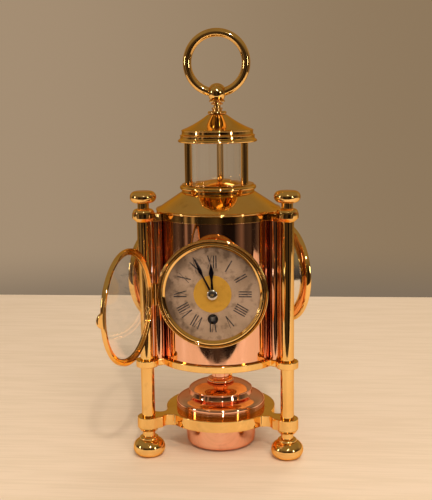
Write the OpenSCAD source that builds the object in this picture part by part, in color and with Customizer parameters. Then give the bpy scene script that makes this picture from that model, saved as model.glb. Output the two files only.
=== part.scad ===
// Lantern-shaped mantel clock in brass, copper and nickel.
// Three posts carry a copper drum with a timepiece in front and two weather dials behind.
// +Z is up, the clock faces -Y, and the origin is on the table on the clock's upright axis.

/* [Feet and posts] */
// Height of a turned foot, from the table to the bracket
foot_h = 23.3; // [20:0.1:28]
// Diameter of the foot's flattened ball
foot_d = 25; // [20:0.5:28]
// Height of the foot's flattened ball
foot_ball_h = 14; // [12:0.5:15]
// Diameter of the bead above the ball
foot_bead_d = 15; // [12:0.5:16]
// Thickness of the bead above the ball
foot_bead_h = 2.6; // [1.5:0.1:3]
// Diameter of the foot's neck
foot_neck_d = 9.6; // [7:0.1:11]
// Height of the tapered collar under the bracket
foot_collar_h = 2.6; // [1.5:0.1:3.5]
// Diameter of a brass post
post_d = 10.3; // [9:0.1:12]
// Gap between a post and the copper column behind it
post_gap = 0.95; // [0.5:0.05:3]
// Diameter of the threaded studs that join feet, posts and knobs
stud_d = 5; // [4:0.1:6]
// Depth of a stud in the post
stud_len = 14; // [8:0.5:20]
// Width of the ear's rim round a post
ear_rim = 3.45; // [2.5:0.05:5]

/* [Knobs on the posts] */
// Diameter of the knob's domed collar
knob_collar_d = 16.4; // [13:0.1:17]
// Height of the knob's domed collar
knob_collar_h = 3.2; // [2:0.1:4]
// Diameter of the knob's neck
knob_neck_d = 8.8; // [6.5:0.1:9.5]
// Height of the knob's neck
knob_neck_h = 4.5; // [3:0.1:7]
// Diameter of the knob's flattened ball
knob_d = 20; // [17:0.5:24]
// Height of the knob's flattened ball
knob_ball_h = 8.9; // [6:0.1:10]

/* [Tripod bracket] */
// Thickness of the bracket
bracket_h = 9; // [7:0.5:12]
// Radius of the bracket's ring
bracket_r = 43.9; // [41:0.1:46]
// Width of an arm at its waist
arm_waist = 9; // [7:0.5:11]
// Clear height from the bracket to the drum's floor plate
open_h = 40.5; // [36:0.5:55]

/* [Oil font] */
// Radius of the copper cup at the bracket
cup_r = 28.9; // [26:0.1:31]
// Radius of the copper cup at its bottom corner
cup_foot_r = 27.7; // [23:0.1:28.5]
// Height of the cup's underside above the table
cup_lift = 1.5; // [1:0.1:3]
// Radius of the cup's rounded bottom corner
cup_corner = 4; // [2:0.5:6]
// Thickness of the spun copper of the font
font_wall = 1; // [0.8:0.1:1.5]
// Radius of the font's skirt
skirt_r = 35.6; // [33.5:0.1:38]
// Height of the skirt's moulded edge
skirt_edge_h = 4.4; // [3.5:0.1:6]
// Height of the skirt from the bracket to the band
skirt_h = 8.6; // [8:0.1:11]
// Radius of the font's dome
band_r = 25.6; // [22:0.1:26.5]
// Height of the band under the dome
band_h = 6.6; // [5.8:0.1:9]
// Radius of the dome's rounded edge
dome_roll = 2.6; // [1.5:0.1:2.8]
// Rise of the dome above its edge
dome_rise = 2.7; // [2:0.1:4]
// Radius of the bead at the stem's foot
stem_bead_r = 10.9; // [9:0.1:12]
// Thickness of the bead at the stem's foot
stem_bead_h = 3.2; // [2:0.1:5]
// Radius of the stem under the drum
stem_r = 6.9; // [5.5:0.1:8]

/* [Drum] */
// Radius of the copper drum
drum_r = 48; // [46:0.1:50]
// Thickness of the copper drum
drum_wall = 1.2; // [1:0.1:2]
// Height of the copper drum between its plates
drum_h = 108.1; // [100:0.1:120]
// Thickness of the drum's floor plate
floor_t = 5.6; // [4:0.1:8]
// How far the floor plate stands out past the drum
floor_lip = 2.5; // [1.5:0.1:4]
// Thickness of the drum's top plate
top_t = 5.4; // [4:0.1:7]
// How far the top plate stands out past the drum
top_lip = 0.6; // [0.3:0.1:2]
// How far an ear stands above the top plate
ear_step = 1.1; // [0.5:0.1:2]
// Diameter of the copper columns beside the drum
column_d = 8.6; // [7:0.1:10]

/* [Roof and gallery] */
// Thickness of the spun brass of the roof
roof_wall = 1; // [0.8:0.1:1.5]
// Height of the roof's rolled edge
roof_edge_h = 1.6; // [1.2:0.1:2.5]
// Height of the roof's cone
roof_cone_h = 12.3; // [9:0.1:16]
// Radius of the gallery's rounded rim
gallery_r = 29.9; // [29.2:0.1:32]
// Height of the step under the gallery's rim
gallery_base_h = 1.8; // [1.2:0.1:3]
// Height of the domed floor inside the chimney
lamp_floor_rise = 3.6; // [1:0.1:5]
// Height of the gallery's rounded rim
gallery_rim_h = 3.6; // [3:0.1:4.5]
// Height of the step on the gallery's rim
gallery_top_h = 1; // [0.6:0.1:2]

/* [Lantern] */
// Radius of the circle of the lantern's posts
lamp_post_ring_r = 25; // [24.2:0.1:26]
// Diameter of the lantern's posts
lamp_post_d = 5.6; // [4:0.1:6]
// Height of the lantern's posts
lamp_h = 32.3; // [26:0.1:40]
// Outer radius of the glass chimney
chimney_r = 19.8; // [17:0.1:20.4]
// Thickness of the glass chimney
chimney_wall = 1.3; // [1:0.1:2]
// Depth of the seats that hold the chimney
chimney_seat = 1.6; // [1:0.1:2]
// Radius of the cap's lower edge
cap_r = 30.8; // [30.2:0.1:33]
// Radius of the cap's cone at its foot
cap_cone_r = 27; // [25:0.1:28]
// Height of the cap's stepped rim
cap_rim_h = 9.8; // [9:0.1:12]
// Height of the cap's cone
cap_cone_h = 11.2; // [8:0.1:14]
// Thickness of the spun brass of the cap
cap_wall = 1; // [0.8:0.1:1.3]
// Thickness of the ring plate under the cap
cap_plate_t = 2.4; // [2:0.1:3.5]

/* [Finial and hanging ring] */
// Radius of the bead at the finial's foot
finial_bead_r = 7.3; // [6:0.1:8]
// Height from the finial's foot to the ball's centre
finial_h = 16.5; // [15.5:0.1:19]
// Radius of the finial's ball
ball_r = 7.3; // [6.6:0.1:7.8]
// Thickness of the hanging ring's wire
ring_wire_d = 6.5; // [5:0.1:6.8]
// Outer diameter of the hanging ring
ring_d = 51.9; // [46:0.1:60]

/* [Instrument cases] */
// Radius of the three nickel cases
case_r = 35; // [33:0.1:36]
// Thickness of the nickel cases
case_wall = 1; // [0.8:0.1:1.2]
// Height of the dials' centres above the drum's floor plate
dial_rise = 58.1; // [52:0.1:60]
// Distance of the bezels' front rim from the drum's axis
bezel_reach = 60.95; // [59.5:0.05:64]
// Outer radius of the bezels
bezel_r = 40.8; // [40:0.1:43]
// Height of the bezel's flared back
bezel_flare_h = 4.45; // [2:0.05:5.5]
// Width of the front bezel's rim round the dial
bezel_rim = 5.8; // [5:0.1:7]
// Width of the rear bezels' rims round their openings
rear_rim = 5.6; // [4.5:0.1:7]

/* [Front door] */
// Angle that the door stands open at rest
door_open = 103; // [60:1:160]
// Depth of the door's ring
door_h = 5.9; // [5:0.1:8]
// Width of the door's lip over its glass
door_lip = 1.9; // [1:0.1:3]
// Thickness of the door's flat glass
door_glass_t = 1.6; // [1.2:0.1:2]
// Length of the hinge's knuckles together
hinge_len = 16; // [12:0.5:20]
// Outer radius of the hinge's knuckles
hinge_r = 1.65; // [1.4:0.05:1.8]
// Radius of the hinge pin
hinge_pin_r = 0.7; // [0.5:0.05:0.9]
// How far the thumb tab stands out from the door
tab_out = 4.6; // [3:0.1:6]
// Radius of the thumb tab's round edge
tab_r = 5.6; // [5:0.1:7]
// Thickness of the thumb tab
tab_t = 1.6; // [1:0.1:2.5]

/* [Dial and hands] */
// Thickness of the silvered dial
dial_t = 0.8; // [0.5:0.1:1.2]
// Radius of the gilt disc in the middle of the dial
dial_centre_r = 14; // [12:0.1:16]
// Thickness of the gilt disc
dial_centre_t = 0.25; // [0.15:0.05:0.4]
// Height of the ring that clamps the dial
dial_ring_h = 2.6; // [2.3:0.1:2.9]
// Radius of the winding hole in the dial
winding_hole_r = 3.9; // [3.3:0.1:4.5]
// Length of the minute hand from its centre
minute_len = 31; // [26:0.5:32]
// Length of the hour hand from its centre
hour_len = 22.5; // [18:0.5:25]
// Width of the hands' blades
hand_w = 1.1; // [0.8:0.1:1.6]
// Thickness of the hands
hand_t = 0.6; // [0.4:0.1:0.7]
// Radius of the steel collet over the hands
collet_r = 3.9; // [3:0.1:4.5]
// Minutes past eleven that the hands show
time_minutes = 55.6; // [0:0.1:59]

/* [Movement] */
// Distance of the winding arbor below the centre arbor
winding_drop = 19; // [18:0.1:19.6]
// Thickness of the movement's plates
plate_t = 1.5; // [1.2:0.1:2]
// Clear depth between the movement's plates
plate_gap = 17.2; // [16.8:0.1:20]
// Radius of the movement's pillars
pillar_r = 2; // [1.6:0.1:2.6]
// Radius of the circle of the pillars
pillar_ring_r = 27; // [25:0.1:27.5]
// Teeth of the wheels of the going train
wheel_teeth = 60; // [48:12:60]
// Teeth of the pinions of the going train
pinion_teeth = 10; // [10:1:12]
// Module of the barrel's teeth
barrel_mod = 0.36; // [0.34:0.01:0.37]
// Module of the intermediate wheel's teeth
second_mod = 0.34; // [0.32:0.01:0.35]
// Module of the centre wheel's teeth
centre_mod = 0.28; // [0.25:0.01:0.28]
// Module of the third wheel's teeth
third_mod = 0.26; // [0.24:0.01:0.27]
// Module of the fourth wheel's teeth
fourth_mod = 0.22; // [0.21:0.01:0.23]
// Radius of the escape wheel
escape_r = 3.4; // [3:0.1:3.6]
// Module of the cannon pinion's and minute wheel's teeth
cannon_mod = 0.5; // [0.48:0.01:0.52]
// Thickness of the train's wheels
wheel_t = 0.8; // [0.6:0.1:0.9]
// Radius of the arbors between the plates
arbor_r = 0.9; // [0.7:0.05:1]
// Radius of the pivots in the plates
pivot_r = 0.5; // [0.4:0.05:0.6]
// Radius of the winding arbor
winding_r = 1.5; // [1.3:0.05:1.6]
// Width across the flats of the winding square
winding_square = 3.2; // [2.8:0.1:3.6]
// Height of the mainspring barrel
barrel_h = 7; // [6:0.1:7.5]
// Thickness of the barrel's wall
barrel_wall = 0.7; // [0.5:0.1:1]
// Radius of the balance wheel
balance_r = 7; // [6:0.1:7.5]

/* [Weather instruments] */
// Thickness of the rear glasses
rear_glass_t = 1.6; // [1.2:0.1:1.8]
// Depth of the rear dials behind the bezel's front
rear_dial_depth = 9.9; // [8.5:0.1:11]
// Length of the weather hands
weather_hand_len = 24; // [18:0.5:26]
// Radius of the aneroid capsule
capsule_r = 15; // [12:0.5:20]
// Thickness of the aneroid capsule
capsule_h = 5; // [4:0.5:6]
// Radius of the bimetal coil
coil_r = 9; // [7:0.5:12]

/* [Hidden] */
$fn = 96;

// Clearances: between fixed pieces, round turning arbors, between pieces that pass each other
fit = 0.05;
run = 0.05;
pass = 0.35;
// Angles of the posts and of the rear instruments, from the front
POST_ANGLES = [60, 180, 300];
barometer_angle = 120;
thermometer_angle = 240;
CASE_ANGLES = [0, barometer_angle, thermometer_angle];

// Heights above the table
bracket_z = foot_h;
bracket_top = bracket_z + bracket_h;
floor_z = bracket_top + open_h;
drum_z = floor_z + floor_t;
drum_top_z = drum_z + drum_h;
roof_z = drum_top_z + top_t;
ear_top_z = roof_z + ear_step;
roof_top_z = roof_z + roof_edge_h + roof_cone_h;
gallery_top_z = roof_top_z + gallery_base_h + gallery_rim_h + gallery_top_h;
cap_plate_z = gallery_top_z + lamp_h;
cap_z = cap_plate_z;
cone_z = cap_z + cap_rim_h;
finial_z = cone_z + cap_cone_h;
ball_z = finial_z + finial_h;
dial_z = drum_z + dial_rise;

// Radii of the frame
column_ring_r = drum_r + fit + column_d / 2;
post_ring_r = column_ring_r + column_d / 2 + post_gap + post_d / 2;
ear_d = post_d + 2 * ear_rim;
stud_hole_d = stud_d + 2 * fit;
ring_wire_r = ring_wire_d / 2;
ring_r = ring_d / 2 - ring_wire_r;

// Distances from the drum's axis, in a case, from the front backwards
bezel_face = bezel_reach;
bezel_groove = bezel_face - 0.65;
bezel_back = bezel_face - 1.15 - bezel_flare_h;
dish_floor = bezel_face - 2.45;
dial_back = dish_floor + fit;
dial_face = dial_back + dial_t;
// Radius of the dial that shows
dial_r = bezel_r - bezel_rim;
dial_plate_r = dial_r + 2.6;
dish_r = dial_plate_r + 0.35;
case_in_r = case_r - case_wall;
spigot_r = case_in_r - fit;
plate_r = case_in_r - 0.1;
front_plate_face = bezel_face - 9.75;
front_plate_back = front_plate_face - plate_t;
back_plate_face = front_plate_back - plate_gap;
back_plate_back = back_plate_face - plate_t;
balance_room = 4.6;
cock_t = 1;
cock_face = back_plate_back - balance_room + cock_t;
case_floor = cock_face - cock_t - 0.3 - case_wall;

// Door, measured with the door closed
door_back = bezel_face + pass;
door_face = door_back + door_h;
door_bore_r = dish_r + 0.4;
door_seat_r = door_bore_r - 0.35;
door_glass_r = door_seat_r - fit;
door_glass_face = door_face - 0.95;
door_glass_back = door_glass_face - door_glass_t;
hinge_x = -(bezel_r + hinge_r + pass);
hinge_s = bezel_face + 0.15;
knuckle_gap = 0.25;
door_knuckle = hinge_len / 3;

// Levels of the movement, from the front plate forwards
cannon_z = front_plate_face + 0.7;
cannon_h = 2.1;
hour_wheel_z = cannon_z + cannon_h + 0.9;
hour_wheel_t = 0.9;
hour_pipe_r = 2.3;
cannon_pipe_r = 1.55;
centre_front_r = 0.9;
hour_hand_z = dial_face + 0.7;
hour_hand_top = hour_hand_z + hand_t;
minute_hand_z = hour_hand_top + 0.75;
minute_hand_top = minute_hand_z + hand_t;
collet_h = 1;
collet_z = minute_hand_top + fit;
// Levels of the movement, from the back plate forwards
third_wheel_z = back_plate_face + 0.8;
centre_wheel_z = third_wheel_z + wheel_t + 0.9;
barrel_z = centre_wheel_z + wheel_t + 1.4;
fourth_wheel_z = barrel_z + 0.8;
escape_z = back_plate_back - 1;
barrel_tooth_z = barrel_z + barrel_h;
barrel_tooth_t = 1.4;
second_wheel_z = barrel_tooth_z + barrel_tooth_t + 1.1;
shake = 0.3;
// Tooth counts of the motion work, which turns the hour hand once in twelve hours
cannon_teeth = 12;
minute_teeth = 36;
minute_pinion_teeth = 10;
hour_teeth = 40;
minute_distance = cannon_mod * (cannon_teeth + minute_teeth) / 2;
hour_mod = 2 * minute_distance / (minute_pinion_teeth + hour_teeth);
// Places of the arbors in the movement, as [right, up] from the centre arbor
train_teeth = wheel_teeth + pinion_teeth;
barrel_distance = barrel_mod * train_teeth / 2;
second_distance = second_mod * train_teeth / 2;
third_distance = centre_mod * train_teeth / 2;
fourth_distance = third_mod * train_teeth / 2;
escape_distance = fourth_mod * train_teeth / 2;
second_y = (pow(barrel_distance, 2) - pow(second_distance, 2) - pow(winding_drop, 2)) / (2 * winding_drop);
second_x = -sqrt(pow(second_distance, 2) - pow(second_y, 2));
WINDING = [0, -winding_drop];
SECOND = [second_x, second_y];
THIRD = third_distance * [cos(60), sin(60)];
MINUTE = minute_distance * [cos(135), sin(135)];
FOURTH = THIRD + fourth_distance * [cos(160), sin(160)];
ESCAPE = FOURTH + escape_distance * [cos(200), sin(200)];
// The lever and the balance lie in one line below the escape wheel
lever_distance = escape_r + 1.2;
fork_distance = 6.4;
LINE = [cos(250), sin(250)];
LEVER = ESCAPE + lever_distance * LINE;
BALANCE = LEVER + fork_distance * LINE;
CLICK = WINDING + [6.2, 8];
ratchet_z = front_plate_face + 0.8;
ratchet_t = 1.2;
ratchet_r = 4.6;
ratchet_teeth = 24;
// Hands: the angle of each from twelve, clockwise
minute_angle = 6 * time_minutes;
hour_angle = 330 + time_minutes / 2;

// Rear instruments, measured from the drum's axis
rear_dial_face = bezel_face - rear_dial_depth;
rear_dial_t = 0.8;
rear_opening_r = bezel_r - rear_rim;
rear_glass_r = rear_opening_r + 1.2;
rear_glass_face = bezel_face - 0.95;
rear_hand_z = rear_dial_face + 0.9;
rear_set_z = rear_hand_z + hand_t + 0.6;
weather_arbor_r = 0.6;
rear_plate_z = rear_dial_face - 8;

// Colours
BRASS = [0.83, 0.62, 0.28];
COPPER = [0.82, 0.48, 0.34];
NICKEL = [0.8, 0.8, 0.8];
SILVERED = [0.62, 0.54, 0.48];
BLUED = [0.1, 0.1, 0.16];
STEEL = [0.55, 0.56, 0.58];
CLEAR = [0.85, 0.92, 0.92, 0.35];

// Placing
module turned(angle) rotate([0, 0, angle]) children();
module at_posts() for (a = POST_ANGLES) turned(a) translate([0, -post_ring_r, 0]) children();
// In a case, +Z points outwards along the case and +Y points up
module in_case(angle) turned(angle) translate([0, 0, dial_z]) rotate([90, 0, 0]) children();
module lift(z) translate([0, 0, z]) children();
module place(p, z = 0) translate([p[0], p[1], z]) children();
module lathe() rotate_extrude() children();

// A washer or tube standing on its end
module tube(r_out, r_in, h) difference() {
    cylinder(r = r_out, h = h);
    lift(-1) cylinder(r = r_in, h = h + 2);
}

// Section of a flattened ball that stands on z = 0
module ball_section(d, h) {
    intersection() {
        translate([d / 2 - h / 2, h / 2]) circle(d = h);
        square([d / 2, h]);
    }
    square([d / 2 - h / 2, h]);
}

// Outline of a round plate with three ears for the posts
module eared_outline(disc_r, neck_w, ear = ear_d) {
    circle(disc_r);
    for (a = POST_ANGLES) rotate(a) {
        translate([-neck_w / 2, -post_ring_r]) square([neck_w, post_ring_r - disc_r / 2]);
        translate([0, -post_ring_r]) circle(d = ear);
    }
}

// Feet, posts and knobs
module feet() color(BRASS) at_posts() {
    lathe() {
        ball_section(foot_d, foot_ball_h);
        translate([0, foot_ball_h - 1]) square([foot_neck_d / 2, foot_h - foot_ball_h + 1]);
        translate([0, foot_ball_h - 0.8]) ball_section(foot_bead_d, foot_bead_h);
        polygon([
            [0, foot_h - foot_collar_h], [ear_d / 2 - 2, foot_h - foot_collar_h], [ear_d / 2 - 0.3, foot_h], [0, foot_h]
        ]);
    }
    lift(foot_h - fit) cylinder(d = stud_d, h = bracket_h + stud_len);
}

module posts() color(BRASS) at_posts() difference() {
    lift(bracket_top) cylinder(d = post_d, h = drum_top_z - bracket_top);
    lift(bracket_top - 1) cylinder(d = stud_hole_d, h = stud_len + 1.5);
    lift(drum_top_z - stud_len - 0.5) cylinder(d = stud_hole_d, h = stud_len + 1.5);
}

module post_knobs() color(BRASS) at_posts() {
    lift(ear_top_z) lathe() {
        intersection() {
            translate([0, -knob_collar_h]) ball_section(knob_collar_d, 2 * knob_collar_h);
            square([knob_collar_d, knob_collar_h]);
        }
        square([knob_neck_d / 2, knob_collar_h + knob_neck_h + 1]);
        translate([0, knob_collar_h + knob_neck_h]) ball_section(knob_d, knob_ball_h);
    }
    lift(drum_top_z - stud_len) cylinder(d = stud_d, h = ear_top_z - drum_top_z + stud_len + fit);
}

// Bracket under the drum, with arms drawn in at the waist
module tripod_bracket() {
    gap = post_ring_r - ear_d / 2 - bracket_r;
    bite_r = gap / 2;
    arm_w = arm_waist + 0.6 * gap;
    color(BRASS) lift(bracket_z) linear_extrude(bracket_h) difference() {
        eared_outline(bracket_r, arm_w);
        circle(cup_r + 2 * fit);
        for (a = POST_ANGLES) rotate(a) {
            translate([0, -post_ring_r]) circle(d = stud_hole_d);
            for (side = [-1, 1])
                translate([side * (arm_waist / 2 + bite_r), -bracket_r - gap / 2]) circle(bite_r);
        }
    }
}

// Copper oil font
module cup_outline(inset) {
    r_top = cup_r - inset;
    r_foot = cup_foot_r - inset;
    corner = cup_corner - inset;
    translate([r_foot - corner, cup_lift + inset + corner]) circle(corner);
    polygon([
        [0, cup_lift + inset], [r_foot - corner, cup_lift + inset],
        [r_foot, cup_lift + inset + corner], [r_top, bracket_z], [r_top, bracket_top + 1], [0, bracket_top + 1]
    ]);
}

module font_cup() color(COPPER) lathe() {
    difference() {
        intersection() {
            cup_outline(0);
            square([cup_r + 1, bracket_top + fit + font_wall]);
        }
        cup_outline(font_wall);
    }
    translate([cup_r - font_wall, bracket_top + fit]) square([skirt_r - font_wall - fit - cup_r, font_wall]);
}

// Outline of the font's cover, drawn in by the thickness of the copper
module cover_outline(inset) {
    edge_z = bracket_top + skirt_edge_h;
    band_z = bracket_top + skirt_h;
    dome_z = band_z + band_h;
    bulge = skirt_h - skirt_edge_h;
    difference() {
        union() {
            square([skirt_r - inset, edge_z]);
            translate([skirt_r - inset - bulge, edge_z - inset]) circle(bulge);
            square([skirt_r - inset - bulge, band_z - inset]);
            square([band_r - dome_roll - inset, dome_z - inset]);
            translate([band_r - dome_roll, dome_z - dome_roll]) circle(dome_roll - inset);
            polygon([
                [0, dome_z - inset], [band_r - dome_roll, dome_z - inset],
                [stem_bead_r, dome_z + dome_rise - inset], [0, dome_z + dome_rise - inset]
            ]);
        }
        translate([0, -1]) square([skirt_r + 1, bracket_top + 1]);
    }
}

module font_cover() color(COPPER) lathe() difference() {
    cover_outline(0);
    cover_outline(font_wall);
    square([skirt_r - font_wall, bracket_top + font_wall + 2 * fit]);
    square([stud_d / 2 + fit, floor_z]);
    for (z = [1.5, 3]) translate([skirt_r + 0.25, bracket_top + z]) circle(0.5);
}

module font_stem() {
    foot_z = bracket_top + skirt_h + band_h + dome_rise;
    neck_z = foot_z + stem_bead_h;
    color(COPPER) lathe() {
        translate([0, foot_z - 8]) square([stud_d / 2, 9]);
        translate([0, foot_z]) ball_section(2 * stem_bead_r, stem_bead_h);
        difference() {
            translate([0, foot_z + 1]) square([stem_r, floor_z - foot_z - 1]);
            translate([stem_r + 0.4, neck_z + 0.8]) circle(1);
        }
        translate([0, floor_z - 1]) square([stud_d / 2, floor_t]);
    }
}

// Drum, its plates and its columns
module drum_floor() color(BRASS) lift(floor_z) linear_extrude(floor_t) difference() {
    eared_outline(drum_r + floor_lip, column_d + 0.4);
    for (a = POST_ANGLES) rotate(a) translate([0, -post_ring_r]) circle(d = post_d + 2 * fit);
    circle(d = stud_hole_d);
}

module copper_drum() color(COPPER) difference() {
    lift(drum_z) tube(drum_r, drum_r - drum_wall, drum_h);
    for (a = CASE_ANGLES) in_case(a) cylinder(r = case_r + fit, h = drum_r + 5);
}

module drum_columns() color(COPPER) for (a = POST_ANGLES)
    turned(a) translate([0, -column_ring_r, drum_z]) cylinder(d = column_d, h = drum_h);

module drum_top() color(BRASS) difference() {
    lift(drum_top_z) union() {
        linear_extrude(top_t) eared_outline(drum_r + top_lip, column_d + 0.4, post_d);
        at_posts() lathe() polygon([
            [0, 0], [post_d / 2 + 0.5, 0], [ear_d / 2, top_t / 2], [ear_d / 2, top_t + ear_step], [0, top_t + ear_step]
        ]);
    }
    at_posts() lift(drum_top_z - 1) cylinder(d = stud_hole_d, h = top_t + ear_step + 2);
}

// Spun roof with a rolled edge
module roof_outline(inset) {
    edge_r = drum_r + top_lip + 0.4 - inset;
    shoulder_r = edge_r - roof_edge_h;
    translate([edge_r - roof_edge_h / 2, roof_z + roof_edge_h / 2 - inset / 2]) circle(roof_edge_h / 2);
    polygon([
        [0, roof_z], [edge_r - roof_edge_h / 2, roof_z], [shoulder_r, roof_z + roof_edge_h - inset],
        [gallery_r - 1, roof_top_z - inset], [0, roof_top_z - inset]
    ]);
}

module drum_roof() color(BRASS) lathe() difference() {
    roof_outline(0);
    intersection() {
        translate([0, -1]) roof_outline(0);
        square([drum_r - 3 * roof_wall, roof_top_z - roof_wall]);
    }
}

// Domed floor inside the chimney, from the seat up
module lamp_floor_outline() {
    floor_r = chimney_r - chimney_wall - fit;
    dome_r = (pow(floor_r, 2) + pow(lamp_floor_rise, 2)) / (2 * lamp_floor_rise);
    step = chimney_seat - 0.4;
    square([floor_r, step]);
    intersection() {
        translate([0, step + lamp_floor_rise - dome_r]) circle(dome_r, $fn = 300);
        square([floor_r, step + lamp_floor_rise]);
    }
}

// Gallery that the lantern stands on
module gallery() {
    rim_z = roof_top_z + gallery_base_h;
    step_r = lamp_post_ring_r + lamp_post_d / 2 + 0.2;
    seat_r = chimney_r + fit;
    color(BRASS) difference() {
        lathe() difference() {
            union() {
                translate([0, roof_top_z]) square([step_r + 0.4, gallery_base_h + gallery_rim_h / 2]);
                translate([0, rim_z]) ball_section(2 * gallery_r, gallery_rim_h);
                translate([0, rim_z]) square([step_r, gallery_rim_h + gallery_top_h]);
                translate([0, gallery_top_z - chimney_seat]) lamp_floor_outline();
            }
            translate([0, gallery_top_z - chimney_seat]) difference() {
                square([seat_r, chimney_seat + lamp_floor_rise]);
                lamp_floor_outline();
            }
        }
        for (a = POST_ANGLES) turned(a)
            translate([0, -lamp_post_ring_r, gallery_top_z - 3]) cylinder(r = 1.2 + fit, h = 4);
    }
}

module lantern_posts() color(BRASS) for (a = POST_ANGLES) turned(a) translate([0, -lamp_post_ring_r, 0]) {
    lift(gallery_top_z) cylinder(d = lamp_post_d, h = lamp_h);
    lift(gallery_top_z - 2.5) cylinder(r = 1.2, h = lamp_h + 2.5 + cap_plate_t);
}

module chimney() color(CLEAR) lift(gallery_top_z - chimney_seat + fit)
    tube(chimney_r, chimney_r - chimney_wall, lamp_h + 2 * chimney_seat - 2 * fit);

module cap_plate() color(BRASS) lift(cap_plate_z) difference() {
    cylinder(r = cap_r - cap_wall - 1.1, h = cap_plate_t);
    lift(-1) cylinder(r = chimney_r + fit, h = chimney_seat + 1);
    lift(-1) cylinder(r = chimney_r - 2 * chimney_wall, h = cap_plate_t + 2);
    for (a = POST_ANGLES) turned(a)
        translate([0, -lamp_post_ring_r, -1]) cylinder(r = 1.2 + fit, h = cap_plate_t + 2);
}

// Cap of the lantern, with a stepped rim
module cap_outline(inset) {
    mid_z = cap_z + cap_rim_h / 2;
    translate([cap_r - 1 - inset, cap_z + 1]) circle(1);
    polygon([
        [0, cap_z], [cap_r - 1 - inset, cap_z], [cap_r - inset, cap_z + 1], [cap_r - 1.3 - inset, mid_z - 1.6],
        [cap_r - 1.7 - inset, mid_z - 0.2], [cap_r - 1.2 - inset, mid_z + 0.3], [cap_r - 2.4 - inset, mid_z + 1.2],
        [cap_cone_r + 0.7 - inset, cone_z - 1.2], [cap_cone_r + 0.9 - inset, cone_z - 0.6], [cap_cone_r - inset, cone_z],
        [cap_cone_r * 0.62 - inset, cone_z + cap_cone_h * 0.42 - inset],
        [finial_bead_r, finial_z - inset], [0, finial_z - inset]
    ]);
}

module lantern_cap() color(BRASS) lathe() difference() {
    cap_outline(0);
    translate([0, -fit]) cap_outline(cap_wall);
    translate([0, cap_z - 1]) square([cap_r - cap_wall - 1, 1.5]);
    square([stud_d / 2 + fit, ball_z]);
}

module cap_finial() color(BRASS) difference() {
    union() {
        lathe() {
            translate([0, finial_z - 5]) square([stud_d / 2, 6]);
            translate([0, finial_z]) ball_section(2 * finial_bead_r, 2.6);
            translate([0, finial_z + 2]) square([3.6, 2.6]);
            translate([0, finial_z + 3.6]) ball_section(8.6, 1.6);
            translate([0, finial_z + 4]) square([2.7, finial_h - 10]);
            translate([0, finial_z + 7.4]) ball_section(9.2, 1.4);
            translate([0, finial_z + 8]) square([3.3, finial_h - 10]);
            translate([0, finial_z + 9.4]) ball_section(12.2, 1.6);
        }
        lift(ball_z) sphere(ball_r);
    }
    // The hole flares as a horn, so that the curved wire can tip in it
    lift(ball_z) rotate([0, 90, 0]) rotate_extrude() difference() {
        translate([0, -ball_r - 1]) square([ball_r - 0.6, 2 * ball_r + 2]);
        translate([ring_r, 0]) circle(ring_r - ring_wire_r - run, $fn = 200);
    }
}

module hanging_ring() color(BRASS) lift(ball_z + ring_r) rotate([90, 0, 0])
    rotate_extrude($fn = 200) translate([ring_r, 0]) circle(ring_wire_r);

// Nickel cases through the drum's wall, closed at the back
module instrument_cases() color(NICKEL) for (a = CASE_ANGLES) in_case(a) lift(case_floor) difference() {
    cylinder(r = case_r, h = bezel_back - case_floor);
    lift(case_wall) cylinder(r = case_in_r, h = bezel_back - case_floor);
}

// Back of a bezel: a spigot in the case and a flared dish, from the spigot's end to the rim
function bezel_outside(spigot_end) = [
    [spigot_r - 1, spigot_end], [spigot_r, spigot_end], [spigot_r, bezel_back + fit], [case_r + 0.2, bezel_back + fit],
    [bezel_r, bezel_face - 1.15], [bezel_r, bezel_face - 0.35]
];

// Front bezel: a brass rim with two hinge knuckles
module knuckle(low, high) translate([hinge_x, 0, hinge_s]) rotate([-90, 0, 0])
    translate([0, 0, low]) cylinder(r = hinge_r, h = high - low);

module pin_bore(clearance) translate([hinge_x, 0, hinge_s]) rotate([-90, 0, 0])
    translate([0, 0, -hinge_len]) cylinder(r = hinge_pin_r + clearance, h = 2 * hinge_len);

module clock_bezel() {
    inner = door_knuckle / 2 + knuckle_gap;
    outer = hinge_len / 2;
    color(BRASS) in_case(0) difference() {
        union() {
            lathe() polygon(concat(bezel_outside(front_plate_face + fit), [
                [bezel_r - 0.4, bezel_face], [bezel_r - 1, bezel_face], [bezel_r - 1.4, bezel_groove],
                [dish_r, bezel_groove], [dish_r, dish_floor], [spigot_r - 1, dish_floor]
            ]));
            for (side = [-1, 1]) {
                knuckle(side > 0 ? inner : -outer, side > 0 ? outer : -inner);
                translate([hinge_x, side > 0 ? inner : -outer, hinge_s - hinge_r])
                    cube([3.2, outer - inner, 1]);
            }
        }
        pin_bore(fit / 2);
    }
}

module dial_ring() color(BRASS) in_case(0) lathe() {
    low = dial_face + fit;
    top = dial_face + dial_ring_h;
    out_r = dish_r - fit;
    polygon([
        [dial_r, low], [out_r, low], [out_r, top - 0.2], [out_r - 0.6, top],
        [out_r - 1.2, top], [dial_r, low + 1.1]
    ]);
}

// Silvered dial with its holes for the hands and the key
module clock_dial() color(SILVERED) in_case(0) lift(dial_back) difference() {
    cylinder(r = dial_plate_r, h = dial_t);
    lift(-1) cylinder(r = hour_pipe_r + 0.5, h = dial_t + 2);
    place(WINDING, -1) cylinder(r = winding_hole_r, h = dial_t + 2);
}

module dial_centre() color(BRASS) in_case(0) lift(dial_face)
    tube(dial_centre_r, hour_pipe_r + 0.5, dial_centre_t);

// Door, drawn closed in its case and then swung open about its hinge
module swung_open() in_hinge_frame() turned(-door_open) from_hinge_frame() children();
module in_hinge_frame() translate([hinge_x, -hinge_s, 0]) children();
module from_hinge_frame() translate([-hinge_x, hinge_s, 0]) children();

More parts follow.
